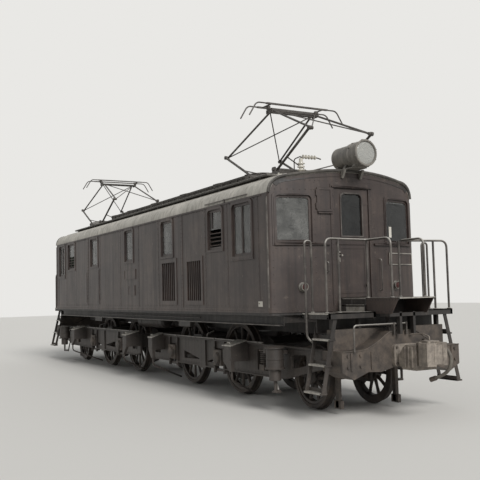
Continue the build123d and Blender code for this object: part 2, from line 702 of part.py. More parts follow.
def make_end_beam():
    """Cast beam across the truck's end with its raised middle and wavy lower edge."""
    right = [(-y, z) for y, z in reversed(beam_profile[1:-1])]
    face = make_face(Polyline(*beam_profile, *right, close=True))
    casting = Pos(beam_x[0], 0, 0) * extrude(Plane.YZ * face, amount=beam_x[1] - beam_x[0])
    cover = block((6600, 6740), (-1000, 1000), (950, cover_top_z))
    pocket = block((6950, 7130), (-210, 210), (760, pocket_top_z))
    pocket = fillet(pocket.edges().filter_by(Axis.X), 60)
    guards = []
    for side in (-1, 1):
        y = (side * 500, side * 560)
        guards.append(block((6560, 6620), y, (90, 700)))
        guards.append(block((6540, 6650), y, (80, 200)))
    body = fuse([casting, cover, pocket, *guards])
    return body


uncoupling_x = 7015
uncoupling_z = 1225
uncoupling_rod = bent_tube([(uncoupling_x, -1040, 1080), (uncoupling_x, -1040, uncoupling_z),
                            (uncoupling_x, 60, uncoupling_z)], 40, 26)
rod_brackets = [block((beam_x[1] - 20, uncoupling_x + 20), (y - 12, y + 12), (1150, uncoupling_z - 13))
                for y in (-40, 40)]
end_beam = fuse([make_end_beam(), *rod_brackets])
hose_start = (7150, 330, 1010)
hose_cock = fuse([disc_x((beam_x[1] - 1, hose_start[0] - seam), hose_start[1], hose_start[2], 32),
                  block((7040, 7100), (hose_start[1] - 30, hose_start[1] + 30), (1000, 1070))])
write_ends("end_beam", [fuse([end_beam, hose_cock]), Pos(0, 0, seam) * uncoupling_rod])

# Knuckle coupler
coupler_z = 908
shank = block((7130 + seam, 7420), (-75, 75), (coupler_z - 80, coupler_z + 80))
head_outline = [(7400, -110), (7520, -190), (7680, -200), (7700, -60), (7600, -30), (7590, 60), (7650, 110),
                (7640, 190), (7480, 170), (7400, 110)]
coupler_head = Pos(0, 0, coupler_z - 150) * extrude(make_face(Polyline(*head_outline, close=True)), amount=300)
knuckle_outline = [(7560, -70), (7700, -90), (7705, 40), (7660, 70), (7625, 0)]
knuckle = Pos(0, 0, coupler_z - 125) * extrude(make_face(Polyline(*knuckle_outline, close=True)), amount=250)
write_ends("coupler", [fuse([shank, coupler_head, knuckle])])

# Deck: raised middle platform, side landings, bars as steps between them, and posts
plate_thickness = 12
side_plate_z = 1440
# Posts under the deck: X, Y and the height of the cast beam or pocket that they stand on
deck_posts = [(6660, 950, cover_top_z), (6660, 500, cover_top_z), (6940, 195, beam_top_z), (7080, 120, pocket_top_z)]


def make_deck():
    """Footplates over the truck's end, carried by posts on the end beam."""
    pieces = [block((deck_rear_x, deck_front_x), (-deck_half_width, deck_half_width), (deck_z - 14, deck_z))]
    side_outline = [(6630, deck_z - 6), (deck_front_x, deck_z - 6), (deck_front_x, 1560), (7150, side_plate_z),
                    (6630, side_plate_z)]
    for y in (-deck_half_width, deck_half_width - plate_thickness):
        pieces.append(plate_y(side_outline, (y, y + plate_thickness)))
    pieces.append(block((deck_front_x - 12, deck_front_x), (-deck_half_width, deck_half_width), (1560, deck_z - 6)))
    for side in (-1, 1):
        inner = side * (deck_half_width - 1)
        outer = side * landing_half_width
        pieces.append(block(landing_x, (inner, outer), (landing_z - 16, landing_z)))
        pieces.append(block((landing_x[0], landing_x[0] + 40), (inner, outer), (landing_z - 80, landing_z)))
        pieces.append(block((landing_x[1] - 40, landing_x[1]), (inner, outer), (landing_z - 80, landing_z)))
        pieces.append(block(landing_x, (side * (landing_half_width - 40), outer), (landing_z - 80, landing_z)))
        pieces.append(block((deck_rear_x, landing_x[1]), (inner, side * (deck_half_width + 40)), (landing_z - 90, landing_z)))
        pieces.append(block((deck_rear_x, deck_rear_x + 30), (side * (deck_half_width - 30), side * deck_half_width), (landing_z - 90, deck_z - 5)))
        for x, y, foot in deck_posts:
            pieces.append(block((x - 35, x + 35), (side * (y - 20), side * (y + 20)), (foot + seam, landing_z - 5)))
    cross = block((6905, 7115), (-315, 315), (1400, 1450))
    return fuse(pieces + [cross])


write_ends("deck", [make_deck()])

# Handrails and ladders
rail = 32
rail_top = 2478
ladder_x = (6330, 6710)


def make_rails():
    """Handrail and ladder on the right-hand side of the deck."""
    outer_y = -landing_half_width + 16
    ladder_y = -landing_half_width - rail / 2 - seam
    base = landing_z + seam
    hoop = bent_tube([(6680, outer_y, base), (6680, outer_y, rail_top), (6680, -deck_half_width - 40, rail_top),
                      (6680, -deck_half_width - 40, base)], 90, rail)
    post = rod((6680, -870, base), (6680, -870, rail_top), rail)
    front_rail = bent_tube([(6670, -deck_half_width + 24, deck_z + seam), (6670, -deck_half_width + 24, rail_top),
                            (deck_front_x - 30, -deck_half_width + 24, rail_top),
                            (deck_front_x - 30, -deck_half_width + 24, deck_z + seam)], 90, rail)
    grab = bent_tube([(6215, ladder_y, rail_top - 60), (6215, ladder_y, 1200), (6330, ladder_y - 20, 1080)], 80, rail)
    ladder = []
    lean = 70
    for x in ladder_x:
        ladder.append(rod((x, ladder_y, landing_z - 10), (x, ladder_y - lean, 400), 30))
    for k, z in enumerate((1108, 768, 408)):
        y = ladder_y - lean * (landing_z - z) / (landing_z - 400)
        ladder.append(block((ladder_x[0] - 20, ladder_x[1] + 20), (y - 110, y + 40), (z - 12, z + 12)))
    return fuse([hoop, post, front_rail]), fuse([grab, *ladder])


rails = []
for piece in make_rails():
    rails += both_sides(piece)
write_ends("handrails", rails)

# Sandboxes with sloping lids outside the frames
sandbox_x = [800, 4150]
box_y = (frame_outer_y + 40 + seam, 1250)


def make_sandbox(x):
    """Sandbox with a sloping lid, its bracket to the frame and its sand pipe."""
    outline = [(x - 160, 490), (x + 160, 490), (x + 160, 870), (x + 110, 912), (x - 110, 912), (x - 160, 870)]
    hopper = plate_y(outline, (-box_y[1], -box_y[0]))
    lid = block((x - 175, x + 175), (-box_y[1] - 12, -box_y[0]), (905, 925))
    funnel = block((x - 60, x + 60), (-1180, -1090), (400, 491))
    pad = block((x - 120, x + 120), (-box_y[0] - 1, -frame_outer_y - seam), (640, 840))
    return fuse([hopper, lid, funnel, pad])


boxes = []
for x in sandbox_x:
    boxes += both_sides(make_sandbox(x))
write_ends("sandboxes", boxes)

# Brake cylinders outboard of the frames
cylinder_x = 5400
cylinder_y = 1205


def make_brake_cylinder():
    """Upright brake cylinder with flanged covers on a bracket."""
    barrel = disc_z(cylinder_x, -cylinder_y, (660, 960), 130)
    flanges = [disc_z(cylinder_x, -cylinder_y, (z, z + 18), 150) for z in (650, 945)]
    lower = disc_z(cylinder_x, -cylinder_y, (470, 655), 90)
    push_rod = disc_z(cylinder_x, -cylinder_y, (300, 475), 22)
    bracket = block((cylinder_x - 70, cylinder_x + 70), (-cylinder_y + 60, -frame_outer_y - seam), (880, 930))
    foot = block((cylinder_x - 90, cylinder_x + 90), (-frame_outer_y - 18, -frame_outer_y - seam), (700, 930))
    return fuse([barrel, *flanges, lower, push_rod, bracket, foot])


write_ends("brake_cylinders", both_sides(make_brake_cylinder()))

# Axle boxes with springs above them
box_half = pedestal_gap - 15
box_below = 65
box_above = 150


def make_axle_box(x):
    """Axle box between its pedestals with two coil springs on its saddle."""
    z = axle_z[x]
    y = (-frame_outer_y - 70, -frame_inner_y + 20)
    case = block((x - box_half, x + box_half), y, (z - box_below, z + box_above))
    cover = disc_y(x, (-frame_outer_y - 110, -frame_outer_y - 69), z, 95)
    bore = disc_y(x, (-frame_outer_y - 60, -frame_inner_y + 30), z, journal_radius + running_clearance)
    return fuse([case, cover]) - bore


axle_boxes = []
for x in (*driver_x, leader_x):
    axle_boxes += both_sides(make_axle_box(x))
spring_x = 4780
springs = fuse([disc_z(spring_x, -1090, (672, 866), 55), disc_z(spring_x, -1090, (660, 674), 70),
                disc_z(spring_x, -1090, (864, 878), 70), block((spring_x - 60, spring_x + 60), (-1110, -frame_outer_y - seam), (878, 900))])
write_ends("axle_boxes", axle_boxes + both_sides(springs))

# Traction motors between the wheels, hung on the axle and the transom
motor_radius = 330
motor_half = 400


def make_motor(axle_x, centre_x):
    """Barrel-shaped traction motor with its axle caps and nose."""
    z = axle_z[axle_x]
    barrel = disc_y(centre_x, (-motor_half, motor_half), z + 40, motor_radius)
    caps = block(sorted((axle_x, centre_x)), (-motor_half, motor_half), (z - 130, z + 130))
    caps = fuse([caps, disc_y(axle_x, (-motor_half, motor_half), z, 140)])
    return fuse([barrel, caps]) - disc_y(axle_x, (-motor_half - 5, motor_half + 5), z, axle_radius + running_clearance)


inner_nose = block((520 + seam, 700), (-100, 100), (700, 780))
outer_nose = block((4300, 4560 - seam), (-100, 100), (700, 780))
motors = [fuse([make_motor(1500, 980), inner_nose]), fuse([make_motor(3450, 4020), outer_nose])]
write_ends("motors", motors)


# Wheelsets
def make_wheel(radius, spokes):
    """Spoked wheel on the right-hand side: tyre with flange, rim, spokes and hub."""
    z = 0
    back = -wheel_back_half_gap
    face = back - tyre_width
    profile = [
        (radius - 95, back), (radius + flange_depth - 8, back), (radius + flange_depth, back - 12),
        (radius + flange_depth - 6, back - 24), (radius, back - 34), (radius - 5, face), (radius - 95, face),
    ]
    tread = make_face(Polyline(*[(r, y) for r, y in profile], close=True))
    tyre = revolve(tread, Axis.Y)
    hub = disc_y(0, (back + 10, face - 20), z, radius * 0.26)
    bars = []
    for k in range(spokes):
        bar = block((radius * 0.2, radius - 90), (back - 40, back - 90), (-28, 28))
        bars.append(Rot(0, 360 / spokes * k, 0) * bar)
    return fuse([tyre, hub, *bars])


def make_wheelset(x, radius, spokes):
    """Two wheels pressed on their axle, with journals outside the wheels."""
    wheel = make_wheel(radius, spokes)
    axle = disc_y(0, (-wheel_back_half_gap - 10, wheel_back_half_gap + 10), 0, axle_radius)
    journals = disc_y(0, (-journal_end_y + 22, journal_end_y - 22), 0, journal_radius)
    return Pos(x, 0, flange_depth + radius) * fuse([axle, journals, *both_sides(wheel)])


write_ends("wheelset_leading", [make_wheelset(leader_x, leader_radius, 10)])
write_ends("wheelset_outer_driving", [make_wheelset(driver_x[1], driver_radius, 12)])
write_ends("wheelset_inner_driving", [make_wheelset(driver_x[0], driver_radius, 12)])

# Brake hose hanging beside the coupler
hose_radius = 24
hose_route = [hose_start, (7330, 330, 1010), (7480, 340, 960), (7560, 340, 850), (7560, 320, 720),
              (7480, 290, 610), (7350, 250, 560)]


def hose_path(points):
    """Straight runs joined by arcs as large as the runs allow."""
    radii = []
    for before, here, after in zip(points, points[1:], points[2:]):
        first = Vector(*here) - Vector(*before)
        second = Vector(*after) - Vector(*here)
        turn = radians(first.get_angle(second))
        radii.append(0.45 * min(first.length, second.length) / tan(turn / 2))
    print("hose radii", [round(radius) for radius in radii])
    return FilletPolyline(*points, radius=radii)


path = hose_path(hose_route)
hose = sweep(Plane(origin=path @ 0, z_dir=path % 0) * Circle(hose_radius), path=path)
print("hose volume ratio", hose.volume / (path.length * 3.14159265 * hose_radius**2))
write_ends("brake_hose", [hose])
end = Vector(*hose_route[-1])
before_end = Vector(*hose_route[-2])
direction = (end - before_end).normalized()
hose_head = rod(end + direction * seam, end + direction * 90, 66)
write_ends("hose_head", [hose_head])
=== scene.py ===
# %% [markdown]
# # Dressing a box-cab electric locomotive
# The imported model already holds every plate, wheel and frame at its real size. This script gives those
# pieces their paint, grime, rivets and small fittings. Everything is in metres, +X runs towards the
# front end, +Y to the locomotive's left and +Z up.

# %% Load the frame
import bmesh
import json
import math
import bpy
from mathutils import Matrix, Vector
from mathutils.geometry import tessellate_polygon


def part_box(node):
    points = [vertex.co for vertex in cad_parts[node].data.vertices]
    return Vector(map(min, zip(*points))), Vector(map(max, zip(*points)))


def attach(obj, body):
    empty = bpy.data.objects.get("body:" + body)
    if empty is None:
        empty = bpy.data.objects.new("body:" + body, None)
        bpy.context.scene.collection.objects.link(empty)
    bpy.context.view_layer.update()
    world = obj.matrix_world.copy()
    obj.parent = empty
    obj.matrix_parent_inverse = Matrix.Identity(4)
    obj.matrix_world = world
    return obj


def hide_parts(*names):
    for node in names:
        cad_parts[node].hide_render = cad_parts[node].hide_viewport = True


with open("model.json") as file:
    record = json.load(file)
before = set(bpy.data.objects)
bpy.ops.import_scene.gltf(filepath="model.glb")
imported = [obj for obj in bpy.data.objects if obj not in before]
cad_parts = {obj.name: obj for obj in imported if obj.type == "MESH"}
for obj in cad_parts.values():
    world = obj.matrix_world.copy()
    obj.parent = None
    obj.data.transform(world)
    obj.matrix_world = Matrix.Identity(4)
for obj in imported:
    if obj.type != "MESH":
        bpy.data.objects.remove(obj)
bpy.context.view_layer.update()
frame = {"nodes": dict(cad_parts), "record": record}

# %% [markdown]
# ## Camera
# The photograph was taken with a normal lens from eye height, ahead of the front end and to its right.
# The camera's place, its turn and the focal length were fitted to the window corners, the ladder and the
# pantographs, so we write those values and build the rotation from three small angles.


# %% Camera at the photograph's viewing angle
def place_in_scene(name, data):
    """Object with the given data, linked to the scene."""
    thing = bpy.data.objects.new(name, data)
    bpy.context.scene.collection.objects.link(thing)
    return thing


rail_height = 0.028
focal_pixels = 740.7
photo_pixels = 480
sensor_width = 36.0
yaw, pitch, roll = 1.0632, 0.0721, -0.0245
eye = Vector((14.950, -6.964, 1.736 + rail_height))

ahead = Vector((-math.sin(yaw) * math.cos(pitch), math.cos(yaw) * math.cos(pitch), math.sin(pitch)))
level = Vector((math.cos(yaw), math.sin(yaw), 0))
upright = level.cross(ahead)
right = math.cos(roll) * level + math.sin(roll) * upright
up = -math.sin(roll) * level + math.cos(roll) * upright
lens = bpy.data.cameras.new("photo_lens")
lens.sensor_width = sensor_width
lens.lens = focal_pixels / photo_pixels * sensor_width
camera = place_in_scene("photo_camera", lens)
camera.matrix_world = Matrix((right, up, -ahead)).transposed().to_4x4()
camera.matrix_world.translation = eye
bpy.context.scene.camera = camera
print("lens", round(lens.lens, 2), "mm")

# %% [markdown]
# ## Brake hoses
# A rubber air hose with a canvas cover leaves a cock beside each coupler and hangs in an arc to its
# coupling head. A NURBS curve with a round bevel keeps the bend smooth, which a chain of straight
# tubes would not. Its control points are the same route that the solid hose follows.

# %% Hoses as smooth curves
hose_route = [(7.150, 0.330, 1.010), (7.330, 0.330, 1.010), (7.480, 0.340, 0.960), (7.560, 0.340, 0.850),
              (7.560, 0.320, 0.720), (7.480, 0.290, 0.610), (7.350, 0.250, 0.560)]
hose_diameter = 0.048
ends = {"front": 1, "rear": -1}


def hose_curve(name, points, diameter):
    """Round hose along the route's control points."""
    curve = bpy.data.curves.new(name, "CURVE")
    curve.dimensions = "3D"
    spline = curve.splines.new("NURBS")
    spline.points.add(len(points) - 1)
    for point, place in zip(spline.points, points):
        point.co = (*place, 1)
    spline.order_u = 3
    spline.use_endpoint_u = True
    spline.resolution_u = 12
    curve.bevel_depth = diameter / 2
    curve.bevel_resolution = 5
    curve.use_fill_caps = True
    return place_in_scene(name, curve)


hoses = {}
for end, sign in ends.items():
    route = [(sign * x, sign * y, z) for x, y, z in hose_route]
    hose = hose_curve("brake_hose_line_" + end, route, hose_diameter)
    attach(hose, "truck_" + end)
    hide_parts("brake_hose_" + end)
    hoses[end] = hose

# %% [markdown]
# ## One way to build a material
# Every finish below is a small graph of nodes. One function adds a node, sets its values and joins its
# inputs. A few short ones name the steps that repeat, so each material reads as a list of steps. Colours
# are picked as sRGB hex, as in any paint chart, and turned to the linear values of the shader.


# %% Colour and node helpers
def colour(code):
    """sRGB hex code to linear RGBA."""
    values = [int(code[k:k + 2], 16) / 255 for k in (1, 3, 5)]
    return [v / 12.92 if v <= 0.04045 else ((v + 0.055) / 1.055) ** 2.4 for v in values] + [1]


def add(tree, kind, settings=None, links=None):
    """Adds a node; settings are inputs by name or number, or properties; links join inputs."""
    node = tree.nodes.new(kind)
    for name, value in (settings or {}).items():
        if isinstance(name, int) or name in node.inputs:
            node.inputs[name].default_value = value
        else:
            setattr(node, name, value)
    for name, source in (links or {}).items():
        tree.links.new(source, node.inputs[name])
    return node


def new_material(name, constants):
    """Material, its tree, and its shader with the constants on the shader's own sockets."""
    material = bpy.data.materials.new(name)
    material.use_nodes = True
    tree = material.node_tree
    tree.nodes.clear()
    shader = add(tree, "ShaderNodeBsdfPrincipled", constants)
    add(tree, "ShaderNodeOutputMaterial", {}, {0: shader.outputs[0]})
    return material, tree, shader


def place_on(tree):
    """Place on the object, in metres."""
    return add(tree, "ShaderNodeTexCoord").outputs["Object"]


def feed(tree, shader, sources):
    """Joins outputs to the shader's sockets."""
    for socket, source in sources.items():
        tree.links.new(source, shader.inputs[socket])


def noise(tree, place, scale, detail, roughness=0.5):
    """Noise with about scale cells a metre."""
    settings = {"Scale": scale, "Detail": detail, "Roughness": roughness}
    return add(tree, "ShaderNodeTexNoise", settings, {"Vector": place}).outputs[0]


def ramp(tree, value, low, high, first=0.0, last=1.0):
    """First where the value is at low, last where it is at high, and a straight run between."""
    settings = {"From Min": low, "From Max": high, "To Min": first, "To Max": last}
    return add(tree, "ShaderNodeMapRange", settings, {"Value": value}).outputs[0]


def blend(tree, share, first, second):
    """Mix of two tones, each a hex code or another node's output."""
    settings = {"data_type": "RGBA"}
    links = {0: share}
    for socket, tone in ((6, first), (7, second)):
        if isinstance(tone, str):
            settings[socket] = colour(tone)
        else:
            links[socket] = tone
    return add(tree, "ShaderNodeMix", settings, links).outputs[2]


def combine(tree, operation, first, second):
    """Arithmetic on two outputs."""
    return add(tree, "ShaderNodeMath", {"operation": operation}, {0: first, 1: second}).outputs[0]


def upper(tree, vector):
    """The Z part of a vector."""
    return add(tree, "ShaderNodeSeparateXYZ", {}, {0: vector}).outputs[2]


def bump(tree, height, distance, strength, below=None):
    """Relief by height, laid over another relief where one is given."""
    links = {"Height": height}
    if below is not None:
        links["Normal"] = below
    return add(tree, "ShaderNodeBump", {"Distance": distance, "Strength": strength}, links).outputs[0]


# %% [markdown]
# ## Weathered oil paint
# Old railway paint is never one tone. Rain pulls soot down the sides in streaks, the sun bleaches broad
# patches, dust settles on ledges and brake dust climbs from below. Each of those is one noise pattern
# with its own real size, so a single recipe serves all the painted steel and only its numbers change.


# %% Painted steel recipe
def painted_steel(name, tones, roughness, patch, streak, dust_height, wave):
    """Oil paint in tones of base, faded, grime and dust; lengths are in metres."""
    base, faded, grime, dust = tones
    material, tree, shader = new_material(name, {"IOR": 1.48})
    place = place_on(tree)
    skin = blend(tree, ramp(tree, noise(tree, place, 1 / patch, 8, 0.68), 0.42, 0.66), base, faded)
    # Rain runs down, so this noise is squeezed across and stretched in height
    squeeze = add(tree, "ShaderNodeMapping", {"Scale": (1 / streak, 1 / streak, 0.35)}, {"Vector": place})
    runs = noise(tree, squeeze.outputs[0], 1, 6, 0.75)
    skin = blend(tree, ramp(tree, runs, 0.46, 0.70, 0, 0.8), skin, grime)
    # Flakes a hand wide where the top coat is gone and the paler primer looks through
    skin = blend(tree, ramp(tree, noise(tree, place, 11, 9, 0.75), 0.60, 0.66, 0, 0.55), skin, dust)
    # Dust from the track: strongest low down, and on every face that looks up
    low = ramp(tree, upper(tree, place), dust_height, dust_height * 0.25, 0, 0.75)
    normal = add(tree, "ShaderNodeNewGeometry").outputs["Normal"]
    ledge = ramp(tree, upper(tree, normal), 0.5, 0.95, 0, 0.7)
    grains = noise(tree, place, 45, 4, 0.7)
    skin = blend(tree, combine(tree, "MULTIPLY", combine(tree, "MAXIMUM", low, ledge), grains), skin, dust)
    # Plates between their rivets are never flat: long shallow waves, and a fine orange peel
    waves = bump(tree, noise(tree, place, 1.6, 2), wave, 0.7)
    peel = bump(tree, noise(tree, place, 160, 3), 0.0006, 0.5, waves)
    sheen = ramp(tree, runs, 0, 1, roughness - 0.1, roughness + 0.22)
    feed(tree, shader, {"Base Color": skin, "Roughness": sheen, "Normal": peel})
    return material


brown_enamel = painted_steel("brown_oil_enamel", ("#322926", "#463b35", "#1e1918", "#675c54"),
                             0.42, 0.55, 0.10, 1.9, 0.012)
roof_canvas = painted_steel("grey_roof_paint", ("#a8a49b", "#bfbab0", "#6f6a62", "#aaa59b"),
                            0.7, 0.6, 0.09, 0.5, 0.006)
hatch_paint = painted_steel("dark_roof_paint", ("#3a3733", "#524e48", "#26231f", "#6a645b"),
                            0.65, 0.5, 0.12, 0.5, 0.006)
oily_black = painted_steel("oily_black_paint", ("#221f1d", "#35302c", "#11100f", "#554c45"),
                           0.5, 0.22, 0.07, 1.3, 0.003)
lamp_paint = painted_steel("grey_lamp_enamel", ("#67635d", "#7f7a72", "#45423d", "#8b857b"),
                           0.45, 0.15, 0.05, 0.5, 0.001)
inside_paint = painted_steel("cab_interior_paint", ("#5a6459", "#6f786c", "#3b423a", "#6b665c"),
                             0.5, 0.6, 0.2, 0.5, 0.003)
label_paint = painted_steel("white_label_enamel", ("#c9c5bb", "#b3aea3", "#8a857b", "#a09a8f"),
                            0.5, 0.1, 0.03, 0.5, 0.001)
print("painted finishes ready")

# %% [markdown]
# ## Cast steel, wheel steel and worn steel
# The end beam, the coupler and the axle boxes were poured in sand, so their skin is pitted at the scale
# of a few millimetres and holds oil and brake dust. Wheels are rolled steel, dull brown except where they
# run. Treads and rails that boots and hands rub stay bright on top, and a thin rust film dulls the rest.


# %% Cast, rolled and worn steel
def bare_steel(name, base, rust, roughness, grit, metallic=0.15, blotches=5, top=None):
    """Steel in two tones in blotches, pitted at the scale of grit; top is the tone where hands rub it."""
    material, tree, shader = new_material(name, {"Roughness": roughness, "Metallic": metallic})
    place = place_on(tree)
    skin = blend(tree, ramp(tree, noise(tree, place, blotches, 9, 0.7), 0.4, 0.66), base, rust)
    if top:
        normal = add(tree, "ShaderNodeNewGeometry").outputs["Normal"]
        skin = blend(tree, ramp(tree, upper(tree, normal), 0.1, 0.8), skin, top)
    pits = bump(tree, noise(tree, place, 1 / grit, 6, 0.65), 0.004, 0.8)
    feed(tree, shader, {"Base Color": skin, "Normal": pits})
    return material


pitted_casting = bare_steel("sand_cast_steel", "#38332f", "#5d534a", 0.6, 0.018)
coupler_steel = bare_steel("dusty_cast_steel", "#6a625a", "#988e82", 0.55, 0.018, blotches=9)
wheel_steel = bare_steel("rolled_wheel_steel", "#2c2724", "#4b4138", 0.55, 0.03)
worn_tube = bare_steel("worn_steel_tube", "#4f4b46", "#34302d", 0.5, 0.02)
hand_worn = bare_steel("hand_worn_rail", "#3b3734", "#67625c", 0.42, 0.02, 0.3, 4, "#b0aca4")
# Bright worn steel; on the sandbox lids and on the upright faces of plate edges it is partly a painted
# highlight
bright_wear_and_highlight = bare_steel("bright_worn_and_highlit_steel", "#a8a49c", "#77726a", 0.38, 0.012, 0.4, 12)
dusty_rubber = bare_steel("canvas_covered_rubber", "#6a655d", "#4f4a43", 0.85, 0.006, 0.0)
grey_block = bare_steel("grey_machine_paint", "#4b4e4e", "#3a3b3b", 0.6, 0.05)
print("metal finishes ready")

# %% [markdown]
# ## Glazed porcelain and old window glass
# Porcelain has a smooth glaze with soot sitting on it. Locomotive glass is plain float glass with a thin
# film of dust, so it is mostly clear but catches the sky. The door panes and a second pane in one end
# window are a nearly opaque near-black film instead, a painted shade for the dark cab behind them.


# %% Porcelain and glass
def glass_under_film(name, dark, pale, low, high):
    """Float glass under a film that hides between low and high of what is behind it: dust on most panes,
    painted shade on the darkest.
    """
    material, tree, shader = new_material(name, {"Roughness": 0.08, "IOR": 1.52})
    film = noise(tree, place_on(tree), 5, 7, 0.7)
    veil = ramp(tree, film, 0.35, 0.7, low, high)
    feed(tree, shader, {"Alpha": veil, "Base Color": blend(tree, film, dark, pale)})
    material.surface_render_method = "BLENDED"
    return material


def glazed(name, clean, sooty, scale, detail, constants):
    """Smooth glaze whose tone goes from clean to sooty by one noise."""
    material, tree, shader = new_material(name, constants)
    soot = noise(tree, place_on(tree), scale, detail)
    feed(tree, shader, {"Base Color": blend(tree, soot, clean, sooty)})
    return material


window_glass = glass_under_film("dusty_window_glass", "#2f3131", "#7f7e7a", 0.5, 0.85)
# Painted shade: the door panes and the second end panes are a nearly opaque near-black film that stands in
# for the dark cab behind them
painted_shade_glass = glass_under_film("painted_shade_dark_glass", "#111212", "#2b2c2b", 0.6, 0.85)
lens_glass = glass_under_film("lamp_lens_glass", "#8f8f8b", "#bdbdb8", 0.35, 0.6)
porcelain = glazed("sooty_porcelain", "#e4e0d4", "#7d766a", 14, 5, {"Roughness": 0.22, "IOR": 1.5})
silver = {"Base Color": colour("#d8d6cf"), "Metallic": 1.0}
reflector, tree, shader = new_material("silvered_reflector", silver)
tarnish = noise(tree, place_on(tree), 18, 6)
feed(tree, shader, {"Roughness": ramp(tree, tarnish, 0, 1, 0.32, 0.5)})
red_lens = glazed("red_marker_glass", "#4a1512", "#2b1a17", 60, 4, {"Roughness": 0.12, "IOR": 1.52})
print("glass and porcelain ready")

# %% Give every carried-over node its finish
finishes = {
    "body_brown": brown_enamel, "roof_grey": roof_canvas, "roof_dark": hatch_paint,
    "running_gear_black": oily_black, "cast_steel": pitted_casting, "wheel_steel": wheel_steel,
    "pantograph_steel": worn_tube, "porcelain": porcelain, "lamp_grey": lamp_paint,
    "window_glass": window_glass, "interior_paint": inside_paint, "machinery_grey": grey_block,
    "hose_rubber": dusty_rubber,
}
own_finish = {"door_glass_front": painted_shade_glass, "door_glass_rear": painted_shade_glass,
              "coupler_front": coupler_steel, "coupler_rear": coupler_steel}
slot_of = {part["node"]: part["material_slot"] for part in frame["record"]["subparts"]}
for name, node in frame["nodes"].items():
    node.data.materials.clear()
    node.data.materials.append(own_finish.get(name, finishes[slot_of[name]]))
for hose in hoses.values():
    hose.data.materials.append(dusty_rubber)
print(len(frame["nodes"]), "nodes finished")

# %% [markdown]
# ## Making fittings from a few kinds of form
# A fitter makes almost everything here from plate, round bar and turned or cast blanks. We do the same
# with four forms: a flat plate cut from an outline, a turned shape, a bent bar and a low rivet head. Each
# gives points and faces, so many of them can be joined into one mesh that rides on one body. A small
# bevel afterwards rounds the edges, as a file or a casting's draft does, and catches the light.


# %% Plates, blocks and turned shapes
def around(middle, half):
    """Pair of levels at equal distances from a middle one."""
    return middle - half, middle + half


def rectangle(across, up):
    """Outline of a rectangle between two pairs of levels."""
    return [(across[0], up[0]), (across[1], up[0]), (across[1], up[1]), (across[0], up[1])]


def plate(outline, low, high, across="Y", holes=()):
    """Flat plate with an outline and holes, between two levels of the axis across it."""
    loops = [outline, *holes]
    flat = [point for loop in loops for point in loop]
    count = len(flat)

    def place(point, level):
        a, b = point
        return {"X": (level, a, b), "Y": (a, level, b), "Z": (a, b, level)}[across]

    points = [place(point, low) for point in flat] + [place(point, high) for point in flat]
    triangles = tessellate_polygon([[Vector((a, b, 0)) for a, b in loop] for loop in loops])
    faces = [tuple(triangle) for triangle in triangles]
    faces += [tuple(count + k for k in reversed(triangle)) for triangle in triangles]
    start = 0
    for loop in loops:
        for k in range(len(loop)):
            a = start + k
            b = start + (k + 1) % len(loop)
            faces.append((a, b, count + b, count + a))
        start += len(loop)
    return points, faces


def block(x, y, z):
    """Square block between pairs of X, Y and Z."""
    return plate(rectangle(x, z), y[0], y[1])


def blocks(rows):
    """Square blocks, one for each row of X, Y and Z pairs."""
    return [block(*pairs) for pairs in rows]


def ring_faces(rings, sides, closed=False):
    """Faces that join rings of points in turn, and the last to the first where the part is closed."""
    faces = []
    for ring in range(rings if closed else rings - 1):
        here = ring * sides
        after = (ring + 1) % rings * sides
        for k in range(sides):
            turn = (k + 1) % sides
            faces.append((here + k, here + turn, after + turn, after + k))
    return faces


def end_caps(rings, sides):
    """Faces over the first and the last ring."""
    return [tuple(reversed(range(sides))), tuple(range((rings - 1) * sides, rings * sides))]


def turned_part(profile, centre, along="Z", steps=28):
    """Solid turned from (radius, distance) pairs about an axis through the centre."""
    axis = Vector({"X": (1, 0, 0), "Y": (0, 1, 0), "Z": (0, 0, 1)}[along])
    side = Vector((0, 0, 1)) if along != "Z" else Vector((1, 0, 0))
    other = axis.cross(side)
    points = []
    for radius, distance in profile:
        for k in range(steps):
            angle = 2 * math.pi * k / steps
            spoke = math.cos(angle) * side + math.sin(angle) * other
            points.append(Vector(centre) + distance * axis + radius * spoke)
    return points, ring_faces(len(profile), steps) + end_caps(len(profile), steps)


def disc(span, centre, radius, along="Z", steps=24):
    """Short cylinder between two distances along its axis."""
    return turned_part([(radius, span[0]), (radius, span[1])], centre, along, steps)


def pulled_curve(first, middle, last, share):
    """Point on the smooth curve from first to last that the middle point pulls."""
    return (1 - share) ** 2 * first + 2 * share * (1 - share) * middle + share * share * last


def round_corner(before, here, after, arm, steps):
    """Points that round a corner off, starting and ending an arm's length from it."""
    first = here + (before - here).normalized() * arm
    last = here + (after - here).normalized() * arm
    return [pulled_curve(first, here, last, k / steps) for k in range(steps + 1)]


# %% Bent bars
def bent_bar(points, diameter, bend=0.0, sides=10):
    """Round bar along straight runs, with each corner rounded by the bend radius."""
    points = [Vector(point) for point in points]
    line = [points[0]]
    for before, here, after in zip(points, points[1:], points[2:]):
        arm = min(bend, 0.49 * (here - before).length, 0.49 * (after - here).length)
        line += round_corner(before, here, after, arm, 6) if arm > 0 else [here]
    line.append(points[-1])
    heading = (line[1] - line[0]).normalized()
    across = heading.orthogonal().normalized()
    ring_points = []
    for k, spot in enumerate(line):
        before = line[max(k - 1, 0)]
        after = line[min(k + 1, len(line) - 1)]
        heading = (after - before).normalized()
        across = (across - across.dot(heading) * heading).normalized()
        other = heading.cross(across)
        for j in range(sides):
            angle = 2 * math.pi * j / sides
            ring_points.append(spot + diameter / 2 * (math.cos(angle) * across + math.sin(angle) * other))
    return ring_points, ring_faces(len(line), sides) + end_caps(len(line), sides)


# %% Copies, and joining shapes into a piece
crease_angle = math.radians(32)
bevel_angle = math.radians(40)


